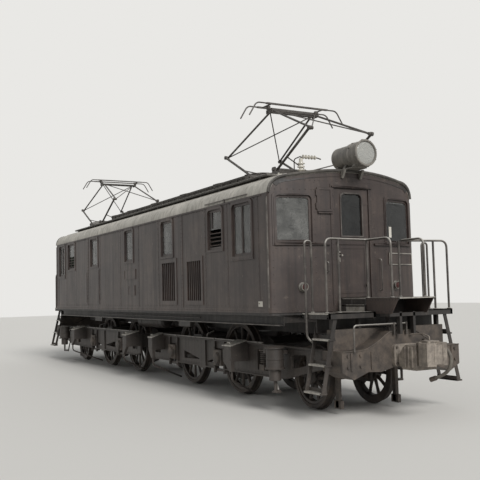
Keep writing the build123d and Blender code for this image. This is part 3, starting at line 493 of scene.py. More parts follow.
def other_side(shapes):
    """The mirror images of the shapes."""
    twins = []
    for points, faces in shapes:
        twins.append(([(x, -y, z) for x, y, z in points], [tuple(reversed(face)) for face in faces]))
    return twins


def mirrored(shapes):
    """The shapes and their mirror images on the other side."""
    return list(shapes) + other_side(shapes)


def half_turned(shapes):
    """The shapes turned to the other end of the locomotive."""
    return [([(-x, -y, z) for x, y, z in points], faces) for points, faces in shapes]


def at_end(shapes, end):
    """The shapes where they belong at the front or the rear."""
    return shapes if end == "front" else half_turned(shapes)


def mesh_piece(name, points, faces, body, material):
    """Smooth mesh in one material that rides on a body."""
    mesh = bpy.data.meshes.new(name)
    mesh.from_pydata(points, [], faces)
    mesh.shade_smooth()
    mesh.materials.append(material)
    piece = place_in_scene(name, mesh)
    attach(piece, body)
    return piece


def join(name, shapes, body, material, bevel=0.0, instead_of=()):
    """Joins shapes into one piece with soft edges that rides on a body."""
    points = []
    faces = []
    for shape_points, shape_faces in shapes:
        base = len(points)
        points += [tuple(point) for point in shape_points]
        faces += [[base + k for k in face] for face in shape_faces]
    piece = mesh_piece(name, points, faces, body, material)
    built = bmesh.new()
    built.from_mesh(piece.data)
    bmesh.ops.recalc_face_normals(built, faces=built.faces)
    built.to_mesh(piece.data)
    built.free()
    piece.data.set_sharp_from_angle(angle=crease_angle)
    if bevel:
        edge = piece.modifiers.new("soft_edges", "BEVEL")
        edge.width = bevel
        edge.segments = 2
        edge.limit_method = "ANGLE"
        edge.angle_limit = bevel_angle
        edge.harden_normals = True
    if instead_of:
        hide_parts(*instead_of)
    print(name, len(faces), "faces")


def on_body(name, shapes, material, bevel=0.0, instead_of=()):
    """One piece on the body, with the same shapes turned to the other end."""
    join(name, shapes + half_turned(shapes), "carbody", material, bevel, instead_of)


def on_both_ends(name, shapes, material, bevel=0.0, instead_of=()):
    """One piece on the front truck and its twin, turned round, on the rear one."""
    for end in ends:
        nodes = [node + "_" + end for node in instead_of]
        join(name + "_" + end, at_end(shapes, end), "truck_" + end, material, bevel, nodes)


# %% [markdown]
# ## Rivets
# The body, the decks and the truck frames are riveted plate, and the rows of snap heads are what tells
# the age of this locomotive. A rivet head is a low dome. Thousands of separate objects would be slow, so
# one dome is repeated by a table of places into a single mesh for each body it rides on.

# %% Rivet helper
rivet_sides = 8
rivet_rings = 2


def dome(radius, height):
    """Points and faces of one low dome that stands on Z = 0."""
    places = []
    for ring in range(rivet_rings):
        share = ring / rivet_rings
        level_radius = radius * math.cos(share * math.pi / 2)
        level_height = height * math.sin(share * math.pi / 2)
        for k in range(rivet_sides):
            angle = 2 * math.pi * k / rivet_sides
            places.append((level_radius * math.cos(angle), level_radius * math.sin(angle), level_height))
    places.append((0, 0, height))
    faces = ring_faces(rivet_rings, rivet_sides)
    top = (rivet_rings - 1) * rivet_sides
    for k in range(rivet_sides):
        faces.append((top + k, top + (k + 1) % rivet_sides, len(places) - 1))
    return places, faces


def row(start, end, pitch, normal):
    """Evenly spaced places from start to end, about pitch apart, each with its outward normal."""
    start = Vector(start)
    end = Vector(end)
    count = max(1, round((end - start).length / pitch))
    return [(start.lerp(end, k / count), Vector(normal)) for k in range(count + 1)]


def rivet_mesh(name, places, radius, height, body, material):
    """One mesh of domes at the given places, riding on a body."""
    shape, faces = dome(radius, height)
    points = []
    polygons = []
    for spot, normal in places:
        turn = normal.to_track_quat("Z", "Y").to_matrix()
        base = len(points)
        points += [spot + turn @ Vector(vertex) for vertex in shape]
        polygons += [[base + k for k in face] for face in faces]
    mesh_piece(name, points, polygons, body, material)
    print(name, len(places), "heads")


def turned(places):
    """The same places after half a turn about the locomotive's middle."""
    return [(Vector((-p.x, -p.y, p.z)), Vector((-n.x, -n.y, n.z))) for p, n in places]


# %% Rivet rows on the body's sides
wall_y = -1.370
side_end = 5.56
foot_low, foot_high = 1.468, 1.538
outward = (0, -1, 0)
strip_places = (-5.50, -4.74, -3.885, -1.92, -0.55, 0.55, 1.60, 3.66, 4.46, 5.44)


def along_side(z, pitch, lift=0.0):
    """Rivets along the side wall at one height, lifted off its face."""
    return row((-side_end, wall_y - lift, z), (side_end, wall_y - lift, z), pitch, outward)


def up_side(x, low, high, pitch, lift):
    """Rivets up the side wall at one X, lifted off its face."""
    return row((x, wall_y - lift, low), (x, wall_y - lift, high), pitch, outward)


side_rows = along_side(foot_low + 0.035, 0.075, 0.008) + along_side(foot_high + 0.035, 0.15)
for seam_x in (-2.850, 2.700):
    for shift in (-0.026, 0.026):
        side_rows += up_side(seam_x + shift, foot_high + 0.05, 3.18, 0.075, 0.006)
for strip_x in strip_places:
    side_rows += up_side(strip_x, foot_high + 0.07, 3.17, 0.11, 0.003)
side_rows += along_side(3.195, 0.11)
rivet_mesh("side_rivets", side_rows + turned(side_rows), 0.011, 0.006, "carbody", brown_enamel)

# %% Rivet rows on the bowed ends
nose = 5.960
bow = 4.400


def end_face(y, lift=0.0):
    """Place and outward normal on the bowed end at the given Y."""
    x = nose - bow + math.sqrt(bow * bow - y * y)
    normal = Vector((x - (nose - bow), y, 0)).normalized()
    return x + lift, normal


def upright_row(y, low, high, pitch, lift):
    """Rivets up the end wall at one Y."""
    x, normal = end_face(y, lift)
    return row((x, y, low), (x, y, high), pitch, normal)


def level_row(y_from, y_to, z, pitch, lift):
    """Rivets across the end wall at one height."""
    count = round(abs(y_to - y_from) / pitch)
    places = []
    for k in range(count + 1):
        y = y_from + (y_to - y_from) * k / count
        x, normal = end_face(y, lift)
        places.append((Vector((x, y, z)), normal))
    return places


end_rows = []
for side in (-1, 1):
    end_rows += upright_row(side * 0.362, 1.56, 3.30, 0.075, 0.010)
    end_rows += upright_row(side * 0.655, 1.60, 3.40, 0.11, 0)
    end_rows += upright_row(side * 1.305, 1.60, 3.20, 0.11, 0)
    end_rows += level_row(side * 0.42, side * 1.28, 1.503, 0.075, 0.010)
    end_rows += level_row(side * 0.70, side * 1.26, 3.285, 0.09, 0)
    end_rows += level_row(side * 0.70, side * 1.26, 2.405, 0.09, 0)
end_rows += upright_row(0.44, 1.60, 3.40, 0.11, 0)
end_rows += upright_row(-0.44, 1.60, 2.88, 0.11, 0)
end_rows += level_row(-1.02, 1.02, 3.425, 0.075, 0)
rivet_mesh("end_rivets", end_rows + turned(end_rows), 0.010, 0.0055, "carbody", brown_enamel)

# %% [markdown]
# ## Cover strips, blank plates and trim on the sides
# Narrow cover strips hide the joints between the side plates. The owner's cast plates are drawn blank, as
# raised rims round an empty panel. A rain strip over the cab window keeps water off its sash.


# %% Side trim
def rimmed_plate(x, z):
    """Blank cast plate with a raised rim, standing out from the side wall."""
    depth, rim = 0.008, 0.012
    face = wall_y - depth
    outer = rectangle(x, z)
    inner = rectangle((x[0] + rim, x[1] - rim), (z[0] + rim, z[1] - rim))
    return [plate(outer, face, wall_y + 0.002), plate(outer, face - 0.006, face + 0.001, "Y", [inner])]


strip_y, strip_half = (wall_y - 0.003, wall_y + 0.002), 0.025
trim = [block(around(x, strip_half), strip_y, (foot_high, 3.21)) for x in strip_places]
trim += rimmed_plate((-0.26, 0.39), (2.118, 2.328)) + rimmed_plate((-0.02, 0.34), (1.778, 1.988))
trim.append(block((3.896, 3.924), (wall_y + 0.008, wall_y + 0.028), (2.86, 3.125)))
# Sash bars, the rails under each cab window, and small hinges on the ventilation doors
for x0, x1 in ((4.650, 5.255), (-5.420, -4.900)):
    middle = (x0 + x1) / 2
    trim += blocks([(around(middle, 0.016), (wall_y + 0.006, wall_y + 0.03), (2.387, 3.123)),
                    ((x0 - 0.05, x1 + 0.05), (wall_y - 0.015, wall_y + 0.002), (2.278, 2.302))])
door_knob = [(0.02, 0.0), (0.02, -0.002), (0.008, -0.004)]
for x0, x1 in ((-2.720, -2.020), (-3.800, -2.945)):
    for z in (1.76, 2.22):
        trim.append(disc(around(z, 0.05), (x1 + 0.012, wall_y - 0.004, 0), 0.011, "Z", 28))
        trim.append(block((x1 - 0.06, x1 + 0.012), (wall_y - 0.014, wall_y - 0.006), around(z, 0.035)))
    trim.append(turned_part(door_knob, (x0 + 0.07, wall_y - 0.012, 2.0), "Y", 14))
on_body("side_trim", trim, brown_enamel, 0.002)
rain_strip = blocks([((3.70, 5.15), (-1.386, -1.368), (3.274, 3.290)),
                     ((4.38, 4.42), (-1.386, -1.368), (3.240, 3.300))])
on_body("rain_strips", rain_strip, hand_worn, 0.002)
label = [block((5.415, 5.530), (wall_y - 0.004, wall_y + 0.002), (1.560, 1.640))]
on_body("blank_labels", label, label_paint, 0.001)

# %% [markdown]
# ## The bowed end: window frames, ledges and plates
# The end wall is a shallow arc, so everything on it is bent to the same radius. Each plate is drawn flat
# across Y and Z with short edges, then every point is pushed out to the arc, as a roller would bend it.


# %% Bending plates to the arc
def stepped(outline, most=0.08):
    """The outline with extra points, so that no edge is longer than most."""
    result = []
    for (a, b), (c, d) in zip(outline, outline[1:] + outline[:1]):
        count = max(1, math.ceil(math.hypot(c - a, d - b) / most))
        result += [(a + (c - a) * k / count, b + (d - b) * k / count) for k in range(count)]
    return result


def arched(y, z, corner, steps=5):
    """Window outline between pairs of Y and Z with rounded upper corners."""
    outline = [(y[0], z[0]), (y[1], z[0])]
    for middle_y, start in ((y[1] - corner, 0), (y[0] + corner, 90)):
        for k in range(steps + 1):
            angle = math.radians(start + 90 * k / steps)
            outline.append((middle_y + corner * math.cos(angle), z[1] - corner + corner * math.sin(angle)))
    return outline


def bent(outline, inner, outer, holes=()):
    """Plate on the end wall: inner and outer are distances from the wall's face."""
    points, faces = plate(stepped(outline), inner, outer, "X", [stepped(hole) for hole in holes])
    return [(end_face(y)[0] + x, y, z) for x, y, z in points], faces


# %% Fittings on the end wall
end_windows = ((-1.270, -0.710), (0.710, 1.270))
window_z = (2.500, 3.195)


def window_outline(y, spread, corner):
    """Outline of an end window, spread out from its opening on every side."""
    return arched((y[0] - spread, y[1] + spread), (window_z[0] - spread, window_z[1] + spread), corner)


fittings = []
for y in end_windows:
    fittings.append(bent(window_outline(y, -0.001, 0.07), -0.040, -0.012, [window_outline(y, -0.034, 0.045)]))
    fittings.append(bent(window_outline(y, 0.018, 0.085), 0.008, 0.018, [window_outline(y, 0.004, 0.072)]))
# Ledges: one under each window, one over the door
for y in ((-1.290, -0.420), (0.420, 1.290)):
    fittings.append(bent(rectangle(y, (2.456, 2.484)), -0.002, 0.034))
fittings.append(bent(rectangle((-0.370, 0.400), (3.330, 3.348)), -0.002, 0.034))
# The flap beside the door, its raised frame, its sill and its hinges
flap = rectangle((-0.620, -0.354), (2.958, 3.318))
panel = rectangle((-0.580, -0.394), (2.992, 3.284))
fittings.append(bent(flap, -0.002, 0.012))
fittings.append(bent(flap, 0.010, 0.020, [panel]))
fittings.append(bent(rectangle((-0.610, -0.364), (2.928, 2.946)), -0.002, 0.034))
for z in (3.04, 3.24):
    for y in (-0.628, -0.346):
        fittings.append(disc(around(z, 0.045), (end_face(y)[0] + 0.014, y, 0), 0.012, "Z", 12))
# Feet that hold the grab bars to the wall
for y, z in ((-0.488, 2.20), (-0.488, 2.07), (0.520, 2.20)):
    x = end_face(y)[0]
    fittings.append(block((x - 0.002, x + 0.006), around(y, 0.03), around(z, 0.035)))
on_body("end_fittings", fittings, brown_enamel, 0.002)


# %% Grab bars, the blank number plate and the second pane
def grab_bar(y, high, low, diameter):
    """Bar that stands off the end wall between two heights."""
    wall = end_face(y)[0]
    clear = wall + 0.06
    return bent_bar([(wall, y, high), (clear, y, high), (clear, y, low), (wall, y, low)], diameter, 0.03)


bars = [grab_bar(-0.488, 2.20, 2.05, 0.016), grab_bar(0.520, 2.24, 1.76, 0.018)]
for side in (-1, 1):
    bars.append(disc((1.538, 3.18), (5.712, side * 1.3665, 0), 0.0175, "Z", 12))
on_body("end_bars", bars, hand_worn)
number_plate = rectangle((0.745, 1.335), (2.158, 2.348))
number_panel = rectangle((0.760, 1.320), (2.173, 2.333))
on_body("blank_number_plates", [bent(number_plate, -0.002, 0.010)], brown_enamel, 0.002)
number_rim = bent(number_plate, 0.008, 0.017, [number_panel])
on_body("number_plate_rims", [number_rim], bright_wear_and_highlight, 0.001)
# Painted shade: a near-black pane in one end window at each end, standing in for the dark cab inside
dark_second_pane = [bent(rectangle((0.705, 1.240), (2.540, 3.135)), -0.013, -0.009)]
on_body("second_panes_painted_shade", dark_second_pane, painted_shade_glass)
card = [bent(rectangle((0.775, 0.835), (2.590, 2.760)), -0.009, -0.004)]
on_body("blank_window_cards", card, label_paint)

# %% [markdown]
# ## End door furniture
# The door is a flat leaf that swings into the cab. Its kick panel, window bead and lock are separate
# pieces that swing with it, so they ride on the door's own body.

# %% Door panel, bead, lock and straps
door_face = 5.944
leaf = door_face - 0.001
door = [plate(rectangle((-0.260, 0.260), (1.728, 2.440)), leaf, door_face + 0.006, "X",
              [rectangle((-0.220, 0.220), (1.768, 2.400))]),
        plate(rectangle((-0.300, 0.300), (2.462, 2.500)), leaf, door_face + 0.014, "X")]
for z in (1.84, 2.50, 3.10):
    door.append(block((leaf, door_face + 0.006), (0.20, 0.318), around(z, 0.02)))
bead = [plate(arched((-0.212, 0.212), (2.578, 3.257), 0.085), door_face + 0.007, door_face + 0.014, "X",
              [arched((-0.194, 0.194), (2.596, 3.239), 0.072)])]
lock = [disc((leaf, door_face + 0.012), (0, -0.260, 2.33), 0.032, "X"),
        plate(rectangle((-0.285, -0.235), (2.20, 2.27)), leaf, door_face + 0.01, "X"),
        disc((leaf, door_face + 0.03), (0, -0.215, 2.30), 0.014, "X")]
door_parts = (("door_panel", door, brown_enamel, 0.002), ("door_bead", bead, hand_worn, 0.001),
              ("door_lock", lock, bright_wear_and_highlight, 0.001))
for end in ends:
    for name, shapes, material, bevel in door_parts:
        join(name + "_" + end, at_end(shapes, end), "end_door_" + end, material, bevel)

# %% [markdown]
# ## Roof edge and seams
# The roof is canvas and paint over steel, laid in lengths, so a flat strip covers each joint over the
# crown and down the coves. A rolled bead runs round the end of the roof. A near-black band above the
# end windows is a painted shadow: the shade that the roof's overhanging edge casts on the end wall.

# %% Roof section, seams and end beads
gutter_half, gutter_height, crown_height, half_width, cove_foot = 1.080, 3.503, 3.603, 1.370, 3.240
crown_radius = (gutter_half ** 2 + (crown_height - gutter_height) ** 2) / (2 * (crown_height - gutter_height))


def crown_at(y):
    """Height of the roof's crown at the given Y."""
    return crown_height - crown_radius + math.sqrt(crown_radius ** 2 - y * y)


def roof_outline(lift):
    """Points (y, z) over the roof from one eave to the other, lifted off its skin."""
    eave = Vector((half_width, cove_foot))
    gutter = Vector((gutter_half, gutter_height))
    diagonal = math.radians(45)
    middle = Vector((half_width - (half_width - gutter_half) * (1 - math.cos(diagonal)),
                     cove_foot + (gutter_height - cove_foot) * math.sin(diagonal)))
    control = 2 * middle - (eave + gutter) / 2
    cove = []
    for k in range(9):
        t = k / 8
        tangent = 2 * (1 - t) * (control - eave) + 2 * t * (gutter - control)
        normal = Vector((tangent.y, -tangent.x)).normalized()
        cove.append(pulled_curve(eave, control, gutter, t) + lift * normal)
    crown = []
    for k in range(1, 20):
        y = gutter_half * (1 - k / 10)
        z = crown_at(y)
        normal = Vector((y, z - crown_height + crown_radius)).normalized()
        crown.append(Vector((y, z)) + lift * normal)
    return cove + crown + [Vector((-p.x, p.y)) for p in reversed(cove)]


def roof_strip(x0, x1, low, high):
    """Strip over the whole roof between two X, from low to high above its skin."""
    inner = roof_outline(low)
    outer = roof_outline(high)
    points = []
    for line in (inner, outer):
        for x in (x0, x1):
            points += [(x, p.x, p.y) for p in line]
    n = len(inner)
    faces = []
    for k in range(n - 1):
        faces.append((2 * n + k, 2 * n + k + 1, 3 * n + k + 1, 3 * n + k))
        faces.append((k, n + k, n + k + 1, k + 1))
        faces.append((k, k + 1, 2 * n + k + 1, 2 * n + k))
        faces.append((n + k, 3 * n + k, 3 * n + k + 1, n + k + 1))
    faces.append((0, 2 * n, 3 * n, n))
    faces.append((n - 1, 2 * n - 1, 4 * n - 1, 3 * n - 1))
    return points, faces


seams = [roof_strip(x - 0.018, x + 0.018, -0.002, 0.004)
         for x in (0.53, 1.39, 2.48, 3.51, 4.62, 5.30, -0.54, -1.26, -2.04, -3.21, -4.16, -5.05)]
join("roof_seams", seams, "carbody", roof_canvas)


def end_bead(lift, diameter):
    """Round bead along the roof's edge where it meets the bowed end."""
    line = [(end_face(p.x)[0] + 0.006, p.x, p.y) for p in roof_outline(lift)]
    return bent_bar(line, diameter, 0.0, 8)


dark_edge = [end_bead(-0.012, 0.05)]
on_body("roof_end_beads", dark_edge, hatch_paint)
# Painted shadow: a near-black band on the end wall under the roof's edge, where the overhang's shade falls
overhang_shadow_band = [(p.x, p.y) for p in roof_outline(-0.012)[3:-3]]
overhang_shadow_band += [(p.x, p.y) for p in reversed(roof_outline(-0.105)[3:-3])]
on_body("painted_shadow_end_bands", [bent(overhang_shadow_band, -0.002, 0.006)], oily_black)
cove_line = [(end_face(p.x)[0] + 0.022, p.x, p.y) for p in roof_outline(0.004)[:9]]
cove_bead = mirrored([bent_bar(cove_line[1:], 0.016, 0.0, 8)])
on_body("cove_beads", cove_bead, hand_worn)

# %% [markdown]
# ## Headlight, marker lamps and porcelain
# The headlight is a spun steel drum with a silvered reflector and a domed glass, clamped by a rim. Its
# long case rests on saddles over the end of the roof. Spun and turned things are lathe work, so each is
# a profile turned about its axis. The porcelain insulators are turned in the same way.

# %% Headlight and marker lamps
lamp_x, lamp_z = 6.300, 3.808
drum_profile = [(0.160, -0.600), (0.176, -0.580), (0.176, -0.275), (0.186, -0.255), (0.190, -0.245),
                (0.190, -0.190), (0.196, -0.186), (0.196, -0.160), (0.190, -0.156), (0.190, 0.030),
                (0.202, 0.034), (0.204, 0.050), (0.198, 0.060), (0.176, 0.060), (0.172, 0.040),
                (0.150, -0.030), (0.100, -0.075), (0.020, -0.095)]
headlight = [turned_part(drum_profile, (lamp_x, 0, lamp_z), "X", 40)]
for k in range(8):
    angle = math.pi * k / 4 + 0.3
    y, z = 0.200 * math.cos(angle), lamp_z + 0.200 * math.sin(angle)
    headlight.append(disc((0.026, 0.056), (lamp_x, y, z), 0.010, "X", 8))
for k in range(5):
    angle = math.radians(30 + 30 * k)
    y, z = 0.191 * math.cos(angle), lamp_z + 0.191 * math.sin(angle)
    headlight.append(block((6.14, 6.18), around(y, 0.012), around(z, 0.008)))
headlight.append(block((5.680, 6.200), (-0.130, 0.130), (3.6035, 3.620)))
saddle = [(-0.14, 3.620), (0.14, 3.620), (0.10, 3.700), (-0.10, 3.700)]
headlight += [plate(saddle, x - 0.03, x + 0.03, "X") for x in (5.780, 5.980, 6.210)]
stay = [(5.962, 3.606), (6.060, 3.606), (6.060, 3.590), (5.990, 3.470), (5.962, 3.470)]
headlight += [plate(stay, y - 0.020, y + 0.020) for y in (-0.170, 0.170)]
marker_z = 1.838
marker_profile = [(0.070, -0.02), (0.070, 0.004), (0.052, 0.010), (0.052, 0.048), (0.062, 0.052),
                  (0.062, 0.068), (0.050, 0.070), (0.046, 0.056), (0.02, 0.050)]
marker_lens = [(0.047, 0.052), (0.042, 0.062), (0.025, 0.068), (0.005, 0.070)]
markers = []
red_lenses = []
for y in (-0.880, 0.880):
    face = end_face(y)[0]
    markers.append(turned_part(marker_profile, (face, y, marker_z), "X", 24))
    markers.append(disc((0.045, 0.075), (face, y, 1.904), 0.008, "X", 8))
    red_lenses.append(turned_part(marker_lens, (face, y, marker_z), "X", 20))
on_body("lamps_dressed", headlight + markers, lamp_paint, 0.002, ["lamps"])
bowl = [(0.004, -0.088), (0.08, -0.078), (0.13, -0.045), (0.166, 0.030), (0.168, 0.036)]
on_body("lamp_reflectors", [turned_part(bowl, (lamp_x, 0, lamp_z), "X", 36)], reflector)
glass = [(0.171, 0.040), (0.150, 0.049), (0.10, 0.056), (0.05, 0.0595), (0.004, 0.0605)]
on_body("lamp_lenses", [turned_part(glass, (lamp_x, 0, lamp_z), "X", 36)], lens_glass)
on_body("marker_lenses", red_lenses, red_lens)

# %% Insulators under the pantographs, bushings and the bar between them
pan_x, foot_half = 4.410, 0.580
post_profile = [(0.058, 0.0), (0.058, 0.014), (0.040, 0.020), (0.040, 0.030), (0.068, 0.038),
                (0.068, 0.048), (0.042, 0.056), (0.042, 0.066), (0.066, 0.074), (0.066, 0.082),
                (0.040, 0.090), (0.040, 0.116)]
porcelains = []
for x in around(pan_x, foot_half):
    for y in (-0.660, 0.660):
        porcelains.append(turned_part(post_profile, (x, y, crown_at(0.66) - 0.004), "Z", 20))
foot = crown_at(0.33) - 0.004
profile = [(0.060, 0.0), (0.060, 0.018), (0.036, 0.026)]
for rise in (0.040, 0.090, 0.140, 0.190):
    profile += [(0.034, rise), (0.062, rise + 0.006), (0.060, rise + 0.018), (0.034, rise + 0.030)]
profile += [(0.030, 0.250), (0.030, 0.285), (0.012, 0.290)]
porcelains.append(turned_part(profile, (5.330, -0.480, foot - 0.010), "Z", 20))
on_body("porcelain_insulators", porcelains, porcelain, 0.0, ["insulators"])
lead = [(5.330, -0.480, foot + 0.27), (5.330, -0.480, foot + 0.31), (5.12, -0.47, foot + 0.30),
        (5.12, -0.47, foot + 0.010)]
crossing = [(5.330, -0.480, foot + 0.29), (5.36, -0.20, foot + 0.30), (5.36, -0.12, foot + 0.28)]
bus_bar = [bent_bar(lead, 0.018, 0.05), bent_bar(crossing, 0.022, 0.04)]
bead_profile = [(0.012, -0.026), (0.034, -0.016), (0.034, -0.004), (0.016, 0.012), (0.012, 0.028)]
beads = [turned_part(bead_profile, (5.352, -0.44 + 0.055 * k, foot + 0.300), "Y", 16) for k in range(5)]
on_body("insulator_strings", beads, porcelain)
on_body("bus_bars", bus_bar, hand_worn)

# %% [markdown]
# ## Roof hatches, walkways and pantograph fittings
# The ventilation hatches are sheet boxes with a rolled rim, ribs and lifting handles. The walkways are
# planks on iron feet. The pantographs are raised by springs and held by pins and clamps at each joint.

# %% Hatch rims and planks
hatch_spans = ((-3.560, -2.420), (-2.320, -0.860), (-0.760, 0.760), (0.860, 2.320), (2.420, 3.560))
hatch_trim = []
for x0, x1 in hatch_spans:
    for y in (-0.508, 0.508):
        hatch_trim.append(block((x0 - 0.008, x1 + 0.008), sorted((y * 0.985, y * 1.01)), (3.820, 3.852)))
        hatch_trim.append(block((x0 - 0.02, x1 + 0.02), sorted((y * 0.985, y * 1.07)), (3.574, 3.590)))
        count = round((x1 - x0) / 0.29)
        for k in range(1, count):
            x = x0 + (x1 - x0) * k / count
            hatch_trim.append(block(around(x, 0.012), sorted((y * 0.985, y * 1.012)), (3.590, 3.820)))
        for x in (x0 + 0.25, x1 - 0.25):
            out = y * 1.09
            handle = [(x - 0.06, y, 3.74), (x - 0.06, out, 3.74), (x + 0.06, out, 3.74), (x + 0.06, y, 3.74)]
            hatch_trim.append(bent_bar(handle, 0.014, 0.02))
    for x in (x0, x1):
        arch = [(x, 0.5 * math.sin(math.radians(a)), 3.862 + 0.07 * math.cos(math.radians(a)) ** 2)
                for a in range(-90, 91, 15)]
        hatch_trim.append(bent_bar(arch, 0.024, 0.0, 8))
join("hatch_trim", hatch_trim, "carbody", hatch_paint, 0.002)
plank_length, plank_pitch = 2.06, 0.083
planks = []
for side in (-1, 1):
    for k in range(3):
        y0 = 0.762 + plank_pitch * k
        plank_y = sorted((side * y0, side * (y0 + 0.077)))
        for j in range(5):
            x0 = -5.150 + plank_length * j
            planks.append(block((x0 + 0.003, x0 + 2.057), plank_y, (3.612, 3.622)))
join("walkway_planks", planks, "carbody", roof_canvas, 0.003)

# %% Pantograph springs, clamps and strips
spring_z, coil_radius = 3.70, 0.034
turns, samples = 22, 10
springs = []
for y in (-0.30, 0.30):
    springs.append(bent_bar([(pan_x - 0.42, y, spring_z), (pan_x + 0.42, y, spring_z)], 0.020))
    coil = []
    for k in range(turns * samples + 1):
        angle = 2 * math.pi * k / samples
        coil.append((pan_x - 0.30 + 0.60 * k / (turns * samples), y + coil_radius * math.cos(angle),
                     spring_z + coil_radius * math.sin(angle)))
    springs.append(bent_bar(coil, 0.010, 0.0, 5))
for x in (pan_x - foot_half, pan_x, pan_x + foot_half):
    for y in (-0.66, 0.66):
        springs.append(disc((3.7145, 3.730), (x, y, 0), 0.022, "Z", 6))
on_body("pantograph_springs", springs, worn_tube)
head_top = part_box("pan_front_head")[1][2]
print("collector heads reach", round(head_top, 3), "m")
wear_z = (head_top - 0.004, head_top - 0.001)
wear = []
for x in around(pan_x, 0.150):
    for k in range(6):
        y0 = -0.600 + 0.2 * k
        wear.append(block(around(x, 0.018), (y0 + 0.003, y0 + 0.197), wear_z))
for end in ends:
    pan = "pan_" + end
    join(pan + "_wear_strips", at_end(wear, end), pan + "_head", bright_wear_and_highlight, 0.001)

# %% [markdown]
# ## Truck frames
# Each truck has a plate frame outside the driving wheels, flanged along its edges and stiffened beside
# the axle boxes, with openings that save weight and let a fitter reach the springs. We cut the plate and
# its openings from one outline, which is how the real plate was burned out, then add the flanges.

# %% Side frames with their openings
frame_in, frame_out = 0.960, 1.010
frame_top, frame_low = 0.968, 0.470
driving_x = (1.500, 3.450)
gap = 0.150


def softened(outline, radius=0.024, steps=4):
    """The outline with each corner rounded."""
    corners = [Vector(corner) for corner in outline]
    result = []
    for before, here, after in zip(corners[-1:] + corners[:-1], corners, corners[1:] + corners[:1]):
        arm = min(radius, 0.4 * (here - before).length, 0.4 * (after - here).length)
        result += [(spot.x, spot.y) for spot in round_corner(before, here, after, arm, steps)]
    return result


frame_outline = [(0.330, 0.530), (0.590, frame_low)]
for x in driving_x:
    frame_outline += [(x - gap, frame_low), (x - gap, 0.820), (x + gap, 0.820), (x + gap, frame_low)]
frame_outline += [(5.400, frame_low), (5.600, 0.492), (6.180, 0.628), (6.550, 0.700), (6.550, frame_top),
                  (0.330, frame_top)]
openings = [[(5.700, 0.634), (6.100, 0.714), (6.100, 0.862), (5.700, 0.842)],
            [(4.720, 0.560), (5.060, 0.560), (5.060, 0.880), (4.720, 0.880)],
            [(2.910, 0.562), (3.230, 0.562), (3.230, 0.640)],
            [(1.955, 0.567), (2.640, 0.590), (1.955, 0.712)],
            [(0.520, 0.600), (0.800, 0.600), (0.800, 0.840), (0.520, 0.840)]]
flange_root = -frame_out + 0.001
frames = [plate(frame_outline, -frame_out, -frame_in, "Y", [softened(hole) for hole in openings])]
frames.append(block((0.330, 6.550), (-1.050, flange_root), (0.948, frame_top)))
for span in ((0.590, 1.294), (1.706, 3.244), (3.656, 5.400)):
    frames.append(block(span, (-1.040, flange_root), (frame_low, 0.490)))
frames.append(block((2.665, 2.905), (-1.036, flange_root), (0.440, 0.949)))
for x in driving_x:
    frames.append(block((x - gap - 0.056, x + gap + 0.056), (-frame_out, -frame_in), (0.426, frame_low)))
    for side in (-1, 1):
        rib = sorted((x + side * gap, x + side * (gap + 0.056)))
        frames.append(block(rib, (-1.044, flange_root), (0.400, 0.949)))
        for z in (0.44, 0.52, 0.60, 0.68, 0.76, 0.84):
            frames.append(disc((-1.054, -1.043), (sum(rib) / 2, 0, z), 0.012, "Y", 6))
# Inner frames for the leading axle, which runs in boxes between its wheels
inner = [(4.700, 0.700), (4.700, 0.900), (6.550, 0.900), (6.550, 0.700), (5.820, 0.640), (5.820, 0.400),
         (5.750, 0.400), (5.750, 0.640), (5.530, 0.640), (5.530, 0.400), (5.460, 0.400), (5.460, 0.640)]
frames.append(plate(list(reversed(inner)), -0.400, -0.360))
frames.append(block((5.460, 5.820), (-0.400, -0.360), (0.360, 0.400)))
on_both_ends("side_frames_dressed", mirrored(frames), oily_black, 0.003,
             ["side_frames"])

# %% Pipes, hangers and brake shoes on the frames
pipe_y, pipe_z = -1.035, 0.984
pipes = [bent_bar([(0.700, pipe_y, pipe_z), (4.950, pipe_y, pipe_z)], 0.030),
         bent_bar([(3.00, pipe_y, pipe_z), (3.00, pipe_y, 1.06), (3.00, -0.90, 1.10)], 0.026, 0.04),
         bent_bar([(5.20, -1.080, 0.880), (5.52, -1.120, 0.290)], 0.032)]
for x in (0.9, 1.7, 2.5, 3.3, 4.1, 4.8):
    pipes.append(block(around(x, 0.018), (-1.054, -1.012), (0.968, 1.003)))
on_both_ends("frame_pipes", mirrored(pipes), hand_worn)
shoe_z = 0.573
shoes = []
for x in driving_x:
    arc = []
    for radius, start, step in ((0.641, -16, 3.2), (0.700, 9.6, -3.2)):
        for k in range(9):
            angle = math.radians(start + step * k)
            arc.append((x + radius * math.cos(angle), shoe_z + radius * math.sin(angle)))
    shoes.append(plate(arc, -0.610, -0.545))
    shoes += blocks([((x + 0.680, x + 0.716), (-0.600, -0.555), (0.500, 0.880)),
                     ((x + 0.678, x + 0.718), (-0.960, -0.555), (0.842, 0.880))])
on_both_ends("brake_shoes", mirrored(shoes), pitted_casting, 0.003)

# %% [markdown]
# ## Axle boxes, springs and sandboxes
# A driving axle runs in a cast box between the frame's jaws, closed by a round bolted cover. A coil
# spring stands in the frame's opening. The sandboxes outside the frames are sheet hoppers with sloping
# lids and a pipe that leads sand to the rail. The lids are pale bare steel, partly polished by the sand
# and partly a painted highlight of the light that falls on their tops.

